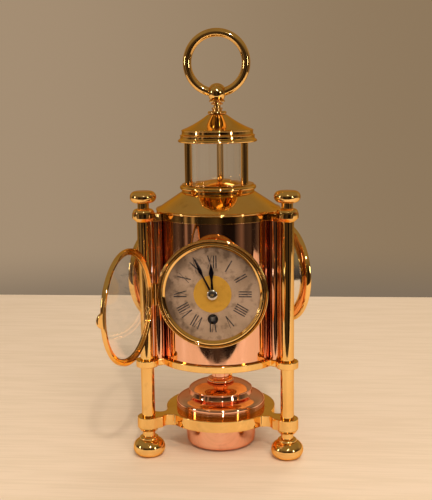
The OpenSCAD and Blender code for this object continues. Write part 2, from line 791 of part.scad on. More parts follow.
module thumb_tab() difference() {
    translate([bezel_r + tab_out - tab_r, 0, door_back + door_h / 2 - tab_t / 2]) cylinder(r = tab_r, h = tab_t);
    cylinder(r = bezel_r - 0.5, h = door_face);
}

module door_ring() {
    half = door_knuckle / 2;
    color(BRASS) swung_open() in_case(0) difference() {
        union() {
            thumb_tab();
            lathe() polygon([
                [door_bore_r, door_back], [bezel_r - 0.2, door_back], [bezel_r, door_back + 0.3],
                [bezel_r, door_face - 1.8], [bezel_r - 0.5, door_face - 0.9], [bezel_r - 1.5, door_face - 0.2],
                [bezel_r - 2.5, door_face], [door_seat_r - door_lip + 0.4, door_face - 0.3],
                [door_seat_r - door_lip, door_face - 0.7], [door_seat_r - door_lip, door_glass_face],
                [door_seat_r, door_glass_face], [door_seat_r, door_glass_back - 1], [door_bore_r, door_glass_back - 1]
            ]);
            knuckle(-half, half);
            translate([hinge_x, -half, hinge_s + hinge_r - 1.1]) cube([3, door_knuckle, 1.1]);
        }
        pin_bore(run);
    }
}

module door_glass() color(CLEAR) swung_open() in_case(0)
    lift(door_glass_back) cylinder(r = door_glass_r, h = door_glass_t - fit);

module door_glass_ring() color(BRASS) swung_open() in_case(0)
    lift(door_glass_back - 0.8) tube(door_glass_r, door_glass_r - 1.5, 0.8 - fit);

module hinge_pin() color(STEEL) in_case(0) translate([hinge_x, -hinge_len / 2, hinge_s]) rotate([-90, 0, 0])
    cylinder(r = hinge_pin_r, h = hinge_len);

// Hands: a blade with a lozenge and a fine point, drawn towards twelve
module hand_outline(len, w, eye_at, eye_w, boss_r) {
    eye_len = 2.6 * eye_w;
    tip = w * 0.25;
    circle(boss_r);
    polygon([
        [-w * 0.7, 0], [w * 0.7, 0], [w / 2, eye_at - eye_len / 2], [eye_w / 2, eye_at],
        [w * 0.45, eye_at + eye_len / 2], [tip, len], [-tip, len], [-w * 0.45, eye_at + eye_len / 2],
        [-eye_w / 2, eye_at], [-w / 2, eye_at - eye_len / 2]
    ]);
}

module hour_hand() color(BLUED) in_case(0) lift(hour_hand_z) rotate(-hour_angle) linear_extrude(hand_t)
    difference() {
        hand_outline(hour_len, hand_w * 1.3, hour_len * 0.71, 3.8, hour_pipe_r + 0.9);
        circle(hour_pipe_r + fit);
    }

module minute_hand() color(BLUED) in_case(0) lift(minute_hand_z) rotate(-minute_angle) linear_extrude(hand_t)
    difference() {
        hand_outline(minute_len, hand_w, minute_len * 0.63, 2.8, cannon_pipe_r + 0.9);
        circle(cannon_pipe_r + fit);
    }

module hand_collet() color(STEEL) in_case(0) lift(collet_z) difference() {
    lathe() polygon([[0, 0], [collet_r, 0], [collet_r, 0.4], [collet_r - 0.6, 0.8], [2, collet_h], [0, collet_h]]);
    lift(-1) cylinder(r = centre_front_r + fit, h = collet_h + 2);
}

// Gear teeth: involute flanks with short tips, thinned for backlash
pressure = 20;
thinning = 0.09;
function involute(r, base) = let (c = base / max(r, base), a = acos(c)) tan(a) - a * PI / 180;
function flank_angle(r, pitch_r, teeth) = let (base = pitch_r * cos(pressure))
    90 * (1 - thinning) / teeth + (involute(pitch_r, base) - involute(r, base)) * 180 / PI;
function polar(r, a) = [r * cos(a), r * sin(a)];

module gear_outline(teeth, mod, tip_share, turn = 0) {
    pitch_r = teeth * mod / 2;
    tip_r = pitch_r + tip_share * mod;
    root_r = pitch_r - 1.05 * mod;
    base_r = max(root_r + 0.02, pitch_r * cos(pressure));
    radii = [root_r, base_r, (base_r + tip_r) / 2, tip_r];
    polygon([for (i = [0 : teeth - 1]) let (mid = turn + i * 360 / teeth) each concat(
        [for (r = radii) polar(r, mid - flank_angle(r, pitch_r, teeth))],
        [for (k = [3, 2, 1, 0]) polar(radii[k], mid + flank_angle(radii[k], pitch_r, teeth))]
    )]);
}

module wheel(teeth, mod, h, bore, spokes = 0, turn = 0) {
    root_r = teeth * mod / 2 - 1.05 * mod;
    linear_extrude(h) difference() {
        gear_outline(teeth, mod, 0.6, turn);
        circle(bore);
        if (spokes > 0) for (i = [0 : spokes - 1]) rotate(i * 360 / spokes + 180 / spokes)
            translate([root_r * 0.55, 0]) circle(root_r * 0.27);
    }
}

module pinion(teeth, mod, h, bore, turn = 0) linear_extrude(h) difference() {
    gear_outline(teeth, mod, 0.8, turn);
    circle(bore);
}

// Direction from one arbor to another, in degrees
function bearing(from, to) = atan2(to[1] - from[1], to[0] - from[0]);
// Turn of a follower so that a gap of its teeth meets a tooth of the driver, which points along the line of centres
function meshed(teeth, from, to) = bearing(from, to) + 180 + 180 / teeth;

// Motion work between the front plate and the dial
module cannon_pinion() color(STEEL) in_case(0) {
    lift(cannon_z) pinion(cannon_teeth, cannon_mod, cannon_h, centre_front_r + fit, bearing([0, 0], MINUTE));
    lift(cannon_z + cannon_h - 0.01) tube(cannon_pipe_r, centre_front_r + fit, minute_hand_top - cannon_z - cannon_h);
}

module minute_wheel() color(BRASS) in_case(0) place(MINUTE) {
    lift(cannon_z) wheel(minute_teeth, cannon_mod, 1, 0.85, 5, meshed(minute_teeth, [0, 0], MINUTE));
    lift(cannon_z + 0.99) pinion(minute_pinion_teeth, hour_mod, hour_wheel_z + hour_wheel_t - cannon_z - 0.79, 0.85,
        bearing(MINUTE, [0, 0]));
}

module hour_wheel() color(BRASS) in_case(0) {
    lift(hour_wheel_z) wheel(hour_teeth, hour_mod, hour_wheel_t, cannon_pipe_r + run, 6,
        meshed(hour_teeth, MINUTE, [0, 0]));
    lift(hour_wheel_z + hour_wheel_t - 0.01)
        tube(hour_pipe_r, cannon_pipe_r + run, hour_hand_top - hour_wheel_z - hour_wheel_t);
}

// Plates of the movement, bored for every arbor
module pillar_places() for (a = [45, 135, 225, 315]) place(polar(pillar_ring_r, a)) children();

module front_plate() color(BRASS) in_case(0) {
    difference() {
        lift(front_plate_back) cylinder(r = plate_r, h = plate_t);
        lift(front_plate_back - 1) {
            cylinder(r = 1 + run, h = plate_t + 2);
            place(WINDING) cylinder(r = winding_r + run, h = plate_t + 2);
            for (p = [SECOND, THIRD, FOURTH, ESCAPE]) place(p) cylinder(r = pivot_r + run, h = plate_t + 2);
            pillar_places() cylinder(r = 0.9 + fit, h = plate_t + 2);
        }
    }
    lift(front_plate_face - 0.01) {
        place(MINUTE) cylinder(r = 0.8, h = dial_back - 1.4 - front_plate_face);
        place(CLICK) cylinder(r = 0.7, h = ratchet_t + 1.2);
    }
}

module back_plate() color(BRASS) in_case(0) difference() {
    lift(back_plate_back) cylinder(r = plate_r, h = plate_t);
    lift(back_plate_back - 1) {
        for (p = [[0, 0], WINDING, SECOND, THIRD, FOURTH, ESCAPE, BALANCE])
            place(p) cylinder(r = pivot_r + run, h = plate_t + 2);
        place(LEVER) cylinder(r = lever_stud_r + fit, h = plate_t + 2);
    }
}

module plate_pillars() color(BRASS) in_case(0) lift(back_plate_face) pillar_places() difference() {
    union() {
        cylinder(r = pillar_r, h = plate_gap);
        cylinder(r = pillar_r + 0.7, h = 1.2);
        lift(plate_gap - 1.2) cylinder(r = pillar_r + 0.7, h = 1.2);
    }
    lift(plate_gap - 6) cylinder(r = 0.9 + fit, h = 7);
}

module plate_screws() color(STEEL) in_case(0) lift(front_plate_face) pillar_places() {
    difference() {
        cylinder(r = 1.9, h = 1);
        translate([-2, -0.25, 0.5]) cube([4, 0.5, 1]);
    }
    lift(-plate_t - 5) cylinder(r = 0.9, h = plate_t + 5.2);
}

// Going barrel with the mainspring, and the arbor that winds it
module barrel() {
    drum_out_r = wheel_teeth * barrel_mod / 2 - 1.6 * barrel_mod;
    color(BRASS) in_case(0) place(WINDING) difference() {
        union() {
            lift(barrel_z) cylinder(r = drum_out_r, h = barrel_h + 0.1);
            lift(barrel_tooth_z) wheel(wheel_teeth, barrel_mod, barrel_tooth_t, 0.5, 0, bearing(WINDING, SECOND));
        }
        lift(barrel_z + barrel_wall) cylinder(r = drum_out_r - barrel_wall, h = barrel_h - 2 * barrel_wall);
        lift(barrel_z - 1) cylinder(r = winding_r + run, h = barrel_h + barrel_tooth_t + 2);
    }
}

module mainspring() {
    drum_in_r = wheel_teeth * barrel_mod / 2 - 1.6 * barrel_mod - barrel_wall;
    color(STEEL) in_case(0) place(WINDING, barrel_z + barrel_wall + fit)
        tube(drum_in_r - fit, winding_r + 1, barrel_h - 2 * barrel_wall - 2 * fit);
}

module winding_arbor() color(STEEL) in_case(0) place(WINDING) {
    square_z = ratchet_z + ratchet_t + 0.5;
    lift(back_plate_back + fit) cylinder(r = pivot_r, h = plate_t + shake);
    lift(back_plate_face + shake) cylinder(r = winding_r, h = square_z - back_plate_face - shake);
    translate([-winding_square / 2, -winding_square / 2, square_z])
        cube([winding_square, winding_square, dial_back - pass - square_z]);
}

module ratchet_wheel() color(STEEL) in_case(0) place(WINDING, ratchet_z) linear_extrude(ratchet_t) difference() {
    polygon([for (i = [0 : ratchet_teeth - 1]) each [
        polar(ratchet_r - 0.7, -i * 360 / ratchet_teeth), polar(ratchet_r, -i * 360 / ratchet_teeth)
    ]]);
    circle(winding_r + fit);
}

// Click that holds the ratchet, with its nose in a tooth
module click() color(STEEL) in_case(0) place([0, 0], ratchet_z) linear_extrude(ratchet_t) difference() {
    union() {
        place(CLICK) circle(1.6);
        place(WINDING) polygon([
            [ratchet_r + 0.3, 0.16], [ratchet_r - 0.58, 0.16], [ratchet_r + 0.15, 1.6],
            [ratchet_r + 0.4, 7.5], [ratchet_r + 2.6, 7.8], [ratchet_r + 1.6, 1]
        ]);
    }
    place(CLICK) circle(0.7 + run);
}

// Spring wound round the click's stud, with its tail along the plate
module click_spring() color(STEEL) in_case(0) place(CLICK, front_plate_face + fit) {
    spring_h = ratchet_z - front_plate_face - 2 * fit;
    tube(1.5, 0.7 + fit, spring_h);
    translate([1.3, -0.25, 0]) cube([5, 0.5, spring_h]);
}

// Arbors of the going train with their wheels and pinions
module arbor(from, to, r) {
    lift(from) cylinder(r = r, h = to - from);
}

module pivots() {
    arbor(back_plate_back + fit, back_plate_face + shake + 0.1, pivot_r);
    arbor(front_plate_back - shake - 0.1, front_plate_face - fit, pivot_r);
}

module intermediate_wheel() color(BRASS) in_case(0) place(SECOND) {
    arbor(back_plate_face + shake, front_plate_back - shake, arbor_r);
    pivots();
    lift(barrel_tooth_z - 0.3)
        pinion(pinion_teeth, barrel_mod, barrel_tooth_t + 0.6, arbor_r - 0.1, meshed(pinion_teeth, WINDING, SECOND));
    lift(second_wheel_z) wheel(wheel_teeth, second_mod, wheel_t, arbor_r - 0.1, 5, bearing(SECOND, [0, 0]));
}

module centre_wheel() color(BRASS) in_case(0) {
    arbor(back_plate_face + shake, front_plate_back - shake, arbor_r);
    arbor(back_plate_back + fit, back_plate_face + shake + 0.1, pivot_r);
    arbor(front_plate_back - shake - 0.1, front_plate_face + 0.4, 1);
    arbor(front_plate_face + 0.3, collet_z + collet_h, centre_front_r);
    lift(second_wheel_z - 0.3)
        pinion(pinion_teeth, second_mod, wheel_t + 0.6, arbor_r - 0.1, meshed(pinion_teeth, SECOND, [0, 0]));
    lift(centre_wheel_z) wheel(wheel_teeth, centre_mod, wheel_t, arbor_r - 0.1, 5, bearing([0, 0], THIRD));
}

module third_wheel() color(BRASS) in_case(0) place(THIRD) {
    arbor(back_plate_face + shake, front_plate_back - shake, arbor_r);
    pivots();
    lift(centre_wheel_z - 0.3)
        pinion(pinion_teeth, centre_mod, wheel_t + 0.6, arbor_r - 0.1, meshed(pinion_teeth, [0, 0], THIRD));
    lift(third_wheel_z) wheel(wheel_teeth, third_mod, wheel_t, arbor_r - 0.1, 5, bearing(THIRD, FOURTH));
}

module fourth_wheel() color(BRASS) in_case(0) place(FOURTH) {
    arbor(back_plate_face + shake, front_plate_back - shake, arbor_r);
    pivots();
    lift(third_wheel_z - 0.3)
        pinion(pinion_teeth, third_mod, wheel_t + 0.6, arbor_r - 0.1, meshed(pinion_teeth, THIRD, FOURTH));
    lift(fourth_wheel_z) wheel(wheel_teeth, fourth_mod, wheel_t, arbor_r - 0.1, 5, bearing(FOURTH, ESCAPE));
}

// Escape wheel behind the back plate, on a thin arbor through both plates
escape_arbor_r = 0.65;
escape_teeth = 15;
module escape_wheel() color(STEEL) in_case(0) place(ESCAPE) {
    arbor(back_plate_face + shake, front_plate_back - shake, escape_arbor_r);
    arbor(escape_z, back_plate_face + shake + 0.1, pivot_r);
    arbor(front_plate_back - shake - 0.1, front_plate_face - fit, pivot_r);
    lift(fourth_wheel_z - 0.3) pinion(pinion_teeth, fourth_mod, wheel_t + 0.6, escape_arbor_r - 0.1,
        meshed(pinion_teeth, FOURTH, ESCAPE));
    lift(escape_z) linear_extrude(0.6) polygon([for (i = [0 : escape_teeth - 1]) let (a = i * 360 / escape_teeth) each [
        polar(escape_r - 1, a - 6), polar(escape_r, a), polar(escape_r, a + 2), polar(escape_r - 1, a + 6)
    ]]);
}

// Lever on a stud of the back plate, with two pallets and a fork for the balance
lever_stud_r = 0.4;
module lever() color(STEEL) in_case(0) {
    pallet_r = escape_r + 0.3;
    lift(escape_z) linear_extrude(0.6) place(LEVER) rotate(250 + 90) {
        circle(0.9);
        for (side = [-1, 1]) {
            translate([0, lever_distance]) rotate(side * 30) translate([-0.3, -pallet_r - 0.8]) square([0.6, 0.8]);
            polygon([[side * 0.5, -0.6], [0, 0.6], [side * 2, 1.45], [side * 2.3, 0.7]]);
            translate([side * 0.55 - 0.2, -fork_distance + 1.5]) square([0.4, 1.2]);
        }
        translate([-0.75, -fork_distance + 2.6]) square([1.5, 0.5]);
        translate([-0.3, -fork_distance + 2.8]) square([0.6, fork_distance - 2.8]);
    }
    place(LEVER, escape_z) cylinder(r = lever_stud_r, h = back_plate_face - escape_z - 0.1);
}

// Balance on the back of the movement, under its cock
module balance_wheel() color(BRASS) in_case(0) place(BALANCE) {
    rim_z = back_plate_back - balance_room / 2;
    lift(rim_z) {
        tube(balance_r, balance_r - 1, 0.9);
        linear_extrude(0.9) square([2 * balance_r - 1.4, 1], center = true);
    }
    arbor(cock_face - 0.6, back_plate_back + 0.6, pivot_r);
    // Hairspring on its collet
    lift(cock_face + 0.4) cylinder(r = 3.4, h = 0.3);
}

cock_angle = 225;
module balance_cock() color(BRASS) in_case(0) difference() {
    union() {
        lift(cock_face - cock_t) linear_extrude(cock_t) {
            place(BALANCE) circle(2.2);
            place(BALANCE) rotate(cock_angle) translate([0, -1.6]) square([balance_r + 4, 3.2]);
        }
        lift(cock_face - cock_t) place(BALANCE) rotate(cock_angle) translate([balance_r + 0.8, -1.6])
            cube([3.2, 3.2, back_plate_back - cock_face + cock_t]);
    }
    lift(cock_face - cock_t - 1) place(BALANCE) cylinder(r = pivot_r + run, h = cock_t + 2);
}

// Rear bezels: each holds its glass behind a lip and its dial behind a sloping wall
module rear_bezel() {
    glass_back = rear_glass_face - rear_glass_t;
    bore_r = rear_glass_r + fit;
    lathe() polygon(concat(bezel_outside(rear_dial_face + fit), [
        [bezel_r - 0.6, bezel_face], [rear_opening_r + 0.8, bezel_face + 0.3],
        [rear_opening_r, bezel_face], [rear_opening_r, rear_glass_face + fit],
        [bore_r, rear_glass_face + fit], [bore_r, glass_back - fit], [bore_r - 1.3, glass_back - fit],
        [spigot_r - 1, bezel_back + 0.4]
    ]));
}

module rear_bezels() color(BRASS) for (a = [barometer_angle, thermometer_angle]) in_case(a) rear_bezel();

module rear_glass(hole_r) lift(rear_glass_face - rear_glass_t) difference() {
    cylinder(r = rear_glass_r, h = rear_glass_t);
    if (hole_r > 0) lift(-1) cylinder(r = hole_r, h = rear_glass_t + 2);
}

module rear_glasses() color(CLEAR) {
    in_case(barometer_angle) rear_glass(1 + run);
    in_case(thermometer_angle) rear_glass(0);
}

module rear_dials() color(SILVERED) for (a = [barometer_angle, thermometer_angle])
    in_case(a) lift(rear_dial_face - rear_dial_t) tube(plate_r, weather_arbor_r + run, rear_dial_t);

// Weather hands turn on an arbor through the dial
module weather_hand(len) {
    lift(rear_hand_z) linear_extrude(hand_t) {
        hand_outline(len, hand_w, len * 0.6, 2.8, 2.2);
        translate([-hand_w / 2, -8]) square([hand_w, 8]);
    }
    arbor(rear_dial_face - 5, rear_hand_z + 0.1, weather_arbor_r);
}

module barometer_hand() color(BLUED) in_case(barometer_angle) rotate(-35) weather_hand(weather_hand_len);

module barometer_set_hand() color(BRASS) in_case(barometer_angle) rotate(15) {
    lift(rear_set_z) linear_extrude(hand_t) hand_outline(weather_hand_len - 2, hand_w, 10, 2.4, 2);
    arbor(rear_set_z, rear_glass_face + 1, 1);
    lift(rear_glass_face + pass) lathe() ball_section(7, 2.6);
}

// Corrugated vacuum capsule on the floor of the barometer's case
module aneroid_capsule() {
    low = case_floor + case_wall;
    color(NICKEL) in_case(barometer_angle) lathe() {
        translate([0, low]) square([3, 3]);
        difference() {
            translate([0, low + 2]) square([capsule_r, capsule_h]);
            for (r = [5 : 3 : capsule_r - 2]) translate([r, low + 2 + capsule_h]) circle(0.7);
        }
        translate([0, low + 2 + capsule_h - 0.1]) square([1.5, rear_dial_face - 5.4 - low - 2 - capsule_h]);
    }
}

// Bimetal strip, coiled round the thermometer's arbor
module bimetal_coil() {
    low = case_floor + case_wall;
    coil_z = rear_dial_face - 6;
    color(STEEL) in_case(thermometer_angle) {
        lift(coil_z) tube(coil_r, weather_arbor_r + 0.35, 4);
        translate([coil_r - 2.5, 0, low]) cylinder(r = 1.5, h = coil_z - low + 1);
    }
}

module thermometer_hand() color(BLUED) in_case(thermometer_angle) rotate(25) weather_hand(weather_hand_len);

feet();
tripod_bracket();
posts();
post_knobs();
font_cup();
font_cover();
font_stem();
drum_floor();
copper_drum();
drum_columns();
drum_top();
drum_roof();
gallery();
lantern_posts();
chimney();
cap_plate();
lantern_cap();
cap_finial();
hanging_ring();
instrument_cases();
clock_bezel();
dial_ring();
clock_dial();
dial_centre();
door_ring();
door_glass();
door_glass_ring();
hinge_pin();
hour_hand();
minute_hand();
hand_collet();
hour_wheel();
cannon_pinion();
minute_wheel();
front_plate();
back_plate();
plate_pillars();
plate_screws();
barrel();
mainspring();
winding_arbor();
ratchet_wheel();
click();
click_spring();
intermediate_wheel();
centre_wheel();
third_wheel();
fourth_wheel();
escape_wheel();
lever();
balance_wheel();
balance_cock();
rear_bezels();
rear_glasses();
rear_dials();
barometer_hand();
barometer_set_hand();
aneroid_capsule();
thermometer_hand();
bimetal_coil();
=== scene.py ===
import math

import bmesh
import bpy
from mathutils import Matrix, Vector


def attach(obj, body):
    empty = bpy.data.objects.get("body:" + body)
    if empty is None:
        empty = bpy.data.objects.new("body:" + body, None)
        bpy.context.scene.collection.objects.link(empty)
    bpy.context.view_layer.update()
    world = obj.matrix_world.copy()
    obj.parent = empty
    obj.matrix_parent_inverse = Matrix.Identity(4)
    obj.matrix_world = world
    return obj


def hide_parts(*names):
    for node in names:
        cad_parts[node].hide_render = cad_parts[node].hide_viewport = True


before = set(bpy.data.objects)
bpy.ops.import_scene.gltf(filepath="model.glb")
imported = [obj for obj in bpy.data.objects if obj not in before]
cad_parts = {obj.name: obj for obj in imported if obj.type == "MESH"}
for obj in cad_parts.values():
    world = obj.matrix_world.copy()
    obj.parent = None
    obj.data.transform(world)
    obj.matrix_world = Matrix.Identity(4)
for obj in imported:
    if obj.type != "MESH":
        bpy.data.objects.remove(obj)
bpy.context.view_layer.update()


# Feet, posts and knobs. Three brass posts carry the clock; a foot is screwed into the bottom of
# each and a knob into the top. All nine are turned on a lathe, polished and lacquered.
MM = 0.001
STUD_R = 2.5
HOLE_R = 2.55
POST_R = 5.15
POST_CIRCLE = 62.75
FIRST_POST = 60
POST_SPACING = 120
BRACKET_LOW, BRACKET_HIGH = 23.3, 32.3
DRUM_HIGH = 186.5
TOP_PLATE_HIGH = 193
SHARP_EDGE = math.radians(34)


class Value:
    """A number, colour or place that flows through a finish. Sums of values add Math nodes."""

    def __init__(self, finish, socket):
        self.finish = finish
        self.socket = socket

    def other(self, output):
        return Value(self.finish, self.socket.node.outputs[output])

    def __add__(self, more):
        return self.finish.maths("ADD", self, more)

    __radd__ = __add__

    def __mul__(self, factor):
        return self.finish.maths("MULTIPLY", self, factor)

    __rmul__ = __mul__

    def __rsub__(self, whole):
        return self.finish.maths("SUBTRACT", whole, self)

    def __truediv__(self, share):
        return self.finish.maths("DIVIDE", self, share)

    def between(self, low, high):
        """0 below low, 1 above high, and a soft step from one to the other."""
        limits = {"Value": self, "From Min": low, "From Max": high}
        return self.finish.add("ShaderNodeMapRange", {"interpolation_type": "SMOOTHSTEP"}, limits)


class Nodes:
    """The nodes of one material or of the room, added one call at a time."""

    def __init__(self, tree):
        self.tree = tree

    def add(self, kind, settings, sockets, output=0):
        node = self.tree.nodes.new(kind)
        stops = settings.pop("stops", None)
        for key, setting in settings.items():
            setattr(node, key, setting)
        if stops:
            ends = node.color_ramp.elements
            (ends[0].position, ends[0].color), (ends[1].position, ends[1].color) = stops[0], stops[-1]
            for at, colour in stops[1:-1]:
                ends.new(at).color = colour
        for key, value in sockets.items():
            if isinstance(value, Value):
                self.tree.links.new(value.socket, node.inputs[key])
            else:
                node.inputs[key].default_value = value
        return Value(self, node.outputs[output])

    def maths(self, operation, first, second=0.0):
        return self.add("ShaderNodeMath", {"operation": operation}, {0: first, 1: second})

    def colour(self, mask, under, over):
        """One colour where the mask is 0, the other where it is 1."""
        sockets = {0: mask, 6: under, 7: over}
        return self.add("ShaderNodeMix", {"data_type": "RGBA"}, sockets, 2)

    def feed(self, node, socket, value):
        self.tree.links.new(value.socket, self.tree.nodes[node].inputs[socket])


class Finish(Nodes):
    """A surface finish, whose pattern is laid out in metres on the finished object."""

    def __init__(self, name, **shader):
        self.material = bpy.data.materials.new(name)
        self.material.use_nodes = True
        super().__init__(self.material.node_tree)
        for socket, value in shader.items():
            self.tree.nodes["Principled BSDF"].inputs[socket.replace("_", " ")].default_value = value
        self.place = self.add("ShaderNodeTexCoord", {}, {}, "Object")

    def noise(self, size, detail=2.0, stretch=(1.0, 1.0, 1.0)):
        """Cloudy pattern from 0 to 1, with clouds about size millimetres across."""
        at = self.add("ShaderNodeMapping", {}, {"Vector": self.place, "Scale": stretch})
        return self.add("ShaderNodeTexNoise", {}, {"Vector": at, "Scale": 1 / (size * MM), "Detail": detail})

    def wear(self, colour, roughness, height=None, depth=0.1):
        """The colour, the roughness and the relief, in millimetres, that change over the surface."""
        self.feed("Principled BSDF", "Base Color", colour)
        self.feed("Principled BSDF", "Roughness", roughness)
        if height:
            sockets = {"Height": height, "Strength": 1.0, "Distance": depth * MM}
            self.feed("Principled BSDF", "Normal", self.add("ShaderNodeBump", {}, sockets))
        return self.material


def polished(name, bright, deep, dull, shine=0.03):
    """Hand-polished and lacquered metal: cloudy tone, faint polishing marks, small dull specks."""
    finish = Finish(name, Metallic=1.0, Specular_Tint=(*deep, 1))
    clouds = finish.noise(28, 3.0)
    specks = finish.noise(1.6, 2.0).between(0.68, 0.8)
    marks = finish.noise(0.9, 2.0, (1.0, 1.0, 0.12))
    stains = finish.noise(9, 4.0).between(0.56, 0.8)
    tone = finish.colour(clouds.between(0.35, 0.7), (*bright, 1), (*deep, 1))
    tone = finish.colour(stains * 0.3 + specks * 0.35, tone, (*dull, 1))
    roughness = shine + 0.03 * clouds + 0.02 * marks + 0.06 * stains + 0.12 * specks
    relief = finish.noise(16, 1.0) + 0.01 * marks
    return finish.wear(tone, roughness, relief, 0.07)


def arc(centre_r, centre_z, radius, start, end, steps=10):
    """Points of a profile on an arc; the angles are in degrees from the outward direction."""
    angles = [math.radians(start + (end - start) * i / steps) for i in range(steps + 1)]
    return [(centre_r + radius * math.cos(a), centre_z + radius * math.sin(a)) for a in angles]


def flat_ball(diameter, height, z, steps=16):
    """Profile of a flattened ball that stands at height z, from its bottom to its top."""
    radius = height / 2
    return arc(diameter / 2 - radius, z + radius, radius, -90, 90, steps)


def bend_point(start, middle, end, t):
    """The point at share t of a smooth curve from start to end, pulled towards the middle point."""
    return start * (1 - t) ** 2 + middle * 2 * t * (1 - t) + end * t * t


def eased(profile, ease, closed):
    """The profile with its sharp corners rubbed round, as polishing leaves them."""
    least_turn = 25
    points = [Vector(point) for point in profile]
    out = []
    for i, corner in enumerate(points):
        if not closed and i in (0, len(points) - 1):
            out.append(corner)
            continue
        back = points[i - 1] - corner
        ahead = points[(i + 1) % len(points)] - corner
        if back.length < 1e-6 or ahead.length < 1e-6:
            continue
        if math.degrees((-back).angle(ahead)) < least_turn:
            out.append(corner)
            continue
        reach = min(ease, 0.4 * back.length, 0.4 * ahead.length)
        first = corner + back.normalized() * reach
        last = corner + ahead.normalized() * reach
        out.extend(bend_point(first, corner, last, t) for t in (0.0, 0.33, 0.67, 1.0))
    return out


def turned(profile, steps=128, closed=False, ease=0.25):
    """Turns a profile of (radius, height) points, in millimetres, round the upright axis."""
    shape = bmesh.new()
    points = [shape.verts.new((r * MM, 0, z * MM)) for r, z in eased(profile, ease, closed)]
    following = points[1:] + points[:1] if closed else points[1:]
    edges = [shape.edges.new(pair) for pair in zip(points, following)]
    bmesh.ops.spin(
        shape, geom=points + edges, cent=(0, 0, 0), axis=(0, 0, 1), angle=math.tau, steps=steps,
        use_merge=True,
    )
    bmesh.ops.remove_doubles(shape, verts=shape.verts, dist=0.0005 * MM)
    bmesh.ops.recalc_face_normals(shape, faces=shape.faces)
    return shape


def moved(shape, *matrices):
    for matrix in matrices:
        bmesh.ops.transform(shape, matrix=matrix, verts=shape.verts)
    return shape


def shifted(x, y, z):
    return Matrix.Translation((x * MM, y * MM, z * MM))


def turn(angle, axis):
    return Matrix.Rotation(math.radians(angle), 4, axis)


def three_times(shape, circle):
    """Three copies of a shape, on a circle round the clock's axis at the posts."""
    moved(shape, shifted(0, -circle, 0), turn(FIRST_POST, "Z"))
    geometry = shape.verts[:] + shape.edges[:] + shape.faces[:]
    bmesh.ops.spin(
        shape, geom=geometry, cent=(0, 0, 0), axis=(0, 0, 1), angle=math.radians(2 * POST_SPACING),
        steps=2, use_duplicate=True,
    )
    bmesh.ops.recalc_face_normals(shape, faces=shape.faces)
    return shape


def fitted(name, shape, finish, body, stands_for, ease=0.0):
    """Makes a shape a piece of the clock: smooth where it is round, crisp or eased at its edges."""
    mesh = bpy.data.meshes.new(name)
    shape.to_mesh(mesh)
    shape.free()
    mesh.shade_smooth()
    mesh.set_sharp_from_angle(angle=SHARP_EDGE)
    mesh.materials.append(finish)
    piece = bpy.data.objects.new(name, mesh)
    bpy.context.scene.collection.objects.link(piece)
    if ease:
        edge = piece.modifiers.new("eased_edges", "BEVEL")
        edge.width, edge.segments, edge.harden_normals = ease * MM, 3, True
        edge.limit_method, edge.angle_limit = "ANGLE", SHARP_EDGE
    else:
        even = piece.modifiers.new("even_normals", "WEIGHTED_NORMAL")
        even.weight, even.keep_sharp = 80, True
    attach(piece, body)
    if stands_for:
        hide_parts(*stands_for)
    return piece


BRASS = polished("polished_brass", (0.98, 0.66, 0.26), (0.96, 0.6, 0.21), (0.45, 0.22, 0.07))

foot = (
    [(0, 0)] + arc(5.5, 7, 7, -90, 75.3, 26) + arc(6.2, 14.5, 1.3, -34, 90)
    + [(4.8, 15.8), (4.8, 20.7), (6.6, 20.7), (8.3, BRACKET_LOW)]
    + [(STUD_R, BRACKET_LOW), (STUD_R, 46.3), (0, 46.3)]
)
post = [
    (0, 47), (HOLE_R, 47), (HOLE_R, BRACKET_HIGH), (POST_R, BRACKET_HIGH),
    (POST_R, DRUM_HIGH), (HOLE_R, DRUM_HIGH), (HOLE_R, 172), (0, 172),
]
knob = (
    [(0, 172.5), (STUD_R, 172.5), (STUD_R, TOP_PLATE_HIGH), (8.2, TOP_PLATE_HIGH)]
    + arc(5, TOP_PLATE_HIGH, 3.2, 0, 90) + [(4.4, 196.2), (4.4, 200.7)]
    + flat_ball(20, 8.9, 200.7, 24) + [(0, 209.6)]
)
fitted("turned_feet", three_times(turned(foot, 96), POST_CIRCLE), BRASS, "frame", ["feet"])
fitted("turned_posts", three_times(turned(post, 72), POST_CIRCLE), BRASS, "frame", ["posts"])
fitted("turned_knobs", three_times(turned(knob, 96), POST_CIRCLE), BRASS, "frame", ["post_knobs"])


# Bracket and drum plates. Three brass plates, sawn to their outline with ears for the posts,
# filed, their edges eased and polished.
def cut_from(node):
    """A clean copy of a CAD node's shape, its triangles merged into whole faces."""
    shape = bmesh.new()
    shape.from_mesh(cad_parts[node].data)
    bmesh.ops.remove_doubles(shape, verts=shape.verts, dist=0.002 * MM)
    flat = math.radians(0.2)
    bmesh.ops.dissolve_limit(shape, angle_limit=flat, verts=shape.verts, edges=shape.edges, delimit=set())
    return shape


fitted("bracket_plate", cut_from("tripod_bracket"), BRASS, "frame", ["tripod_bracket"], ease=0.55)
fitted("floor_plate", cut_from("drum_floor"), BRASS, "frame", ["drum_floor"], ease=0.7)
fitted("top_plate", cut_from("drum_top"), BRASS, "frame", ["drum_top"], ease=0.5)


# Oil font. A cup, a cover with two fine grooves, and a stem up to the drum's floor with a stud at
# each end, all spun and turned in copper, polished and lacquered.
COPPER = polished("polished_copper", (0.97, 0.58, 0.42), (0.94, 0.5, 0.34), (0.4, 0.13, 0.07))
COVER_R = 35.6
COVER_TOP = 51.5
COLLAR_H = 3.2
STEM_R = 6.9


def bowed(start, middle, end, steps=12):
    """Points on a smooth curve from start to end, pulled towards the middle point."""
    curve = Vector(start), Vector(middle), Vector(end)
    return [tuple(bend_point(*curve, i / steps)) for i in range(steps + 1)]


def groove(r, z):
    """A fine groove round a side of radius r, from height z up."""
    return [(r, z), (r - 0.32, z + 0.15), (r - 0.32, z + 0.65), (r, z + 0.8)]


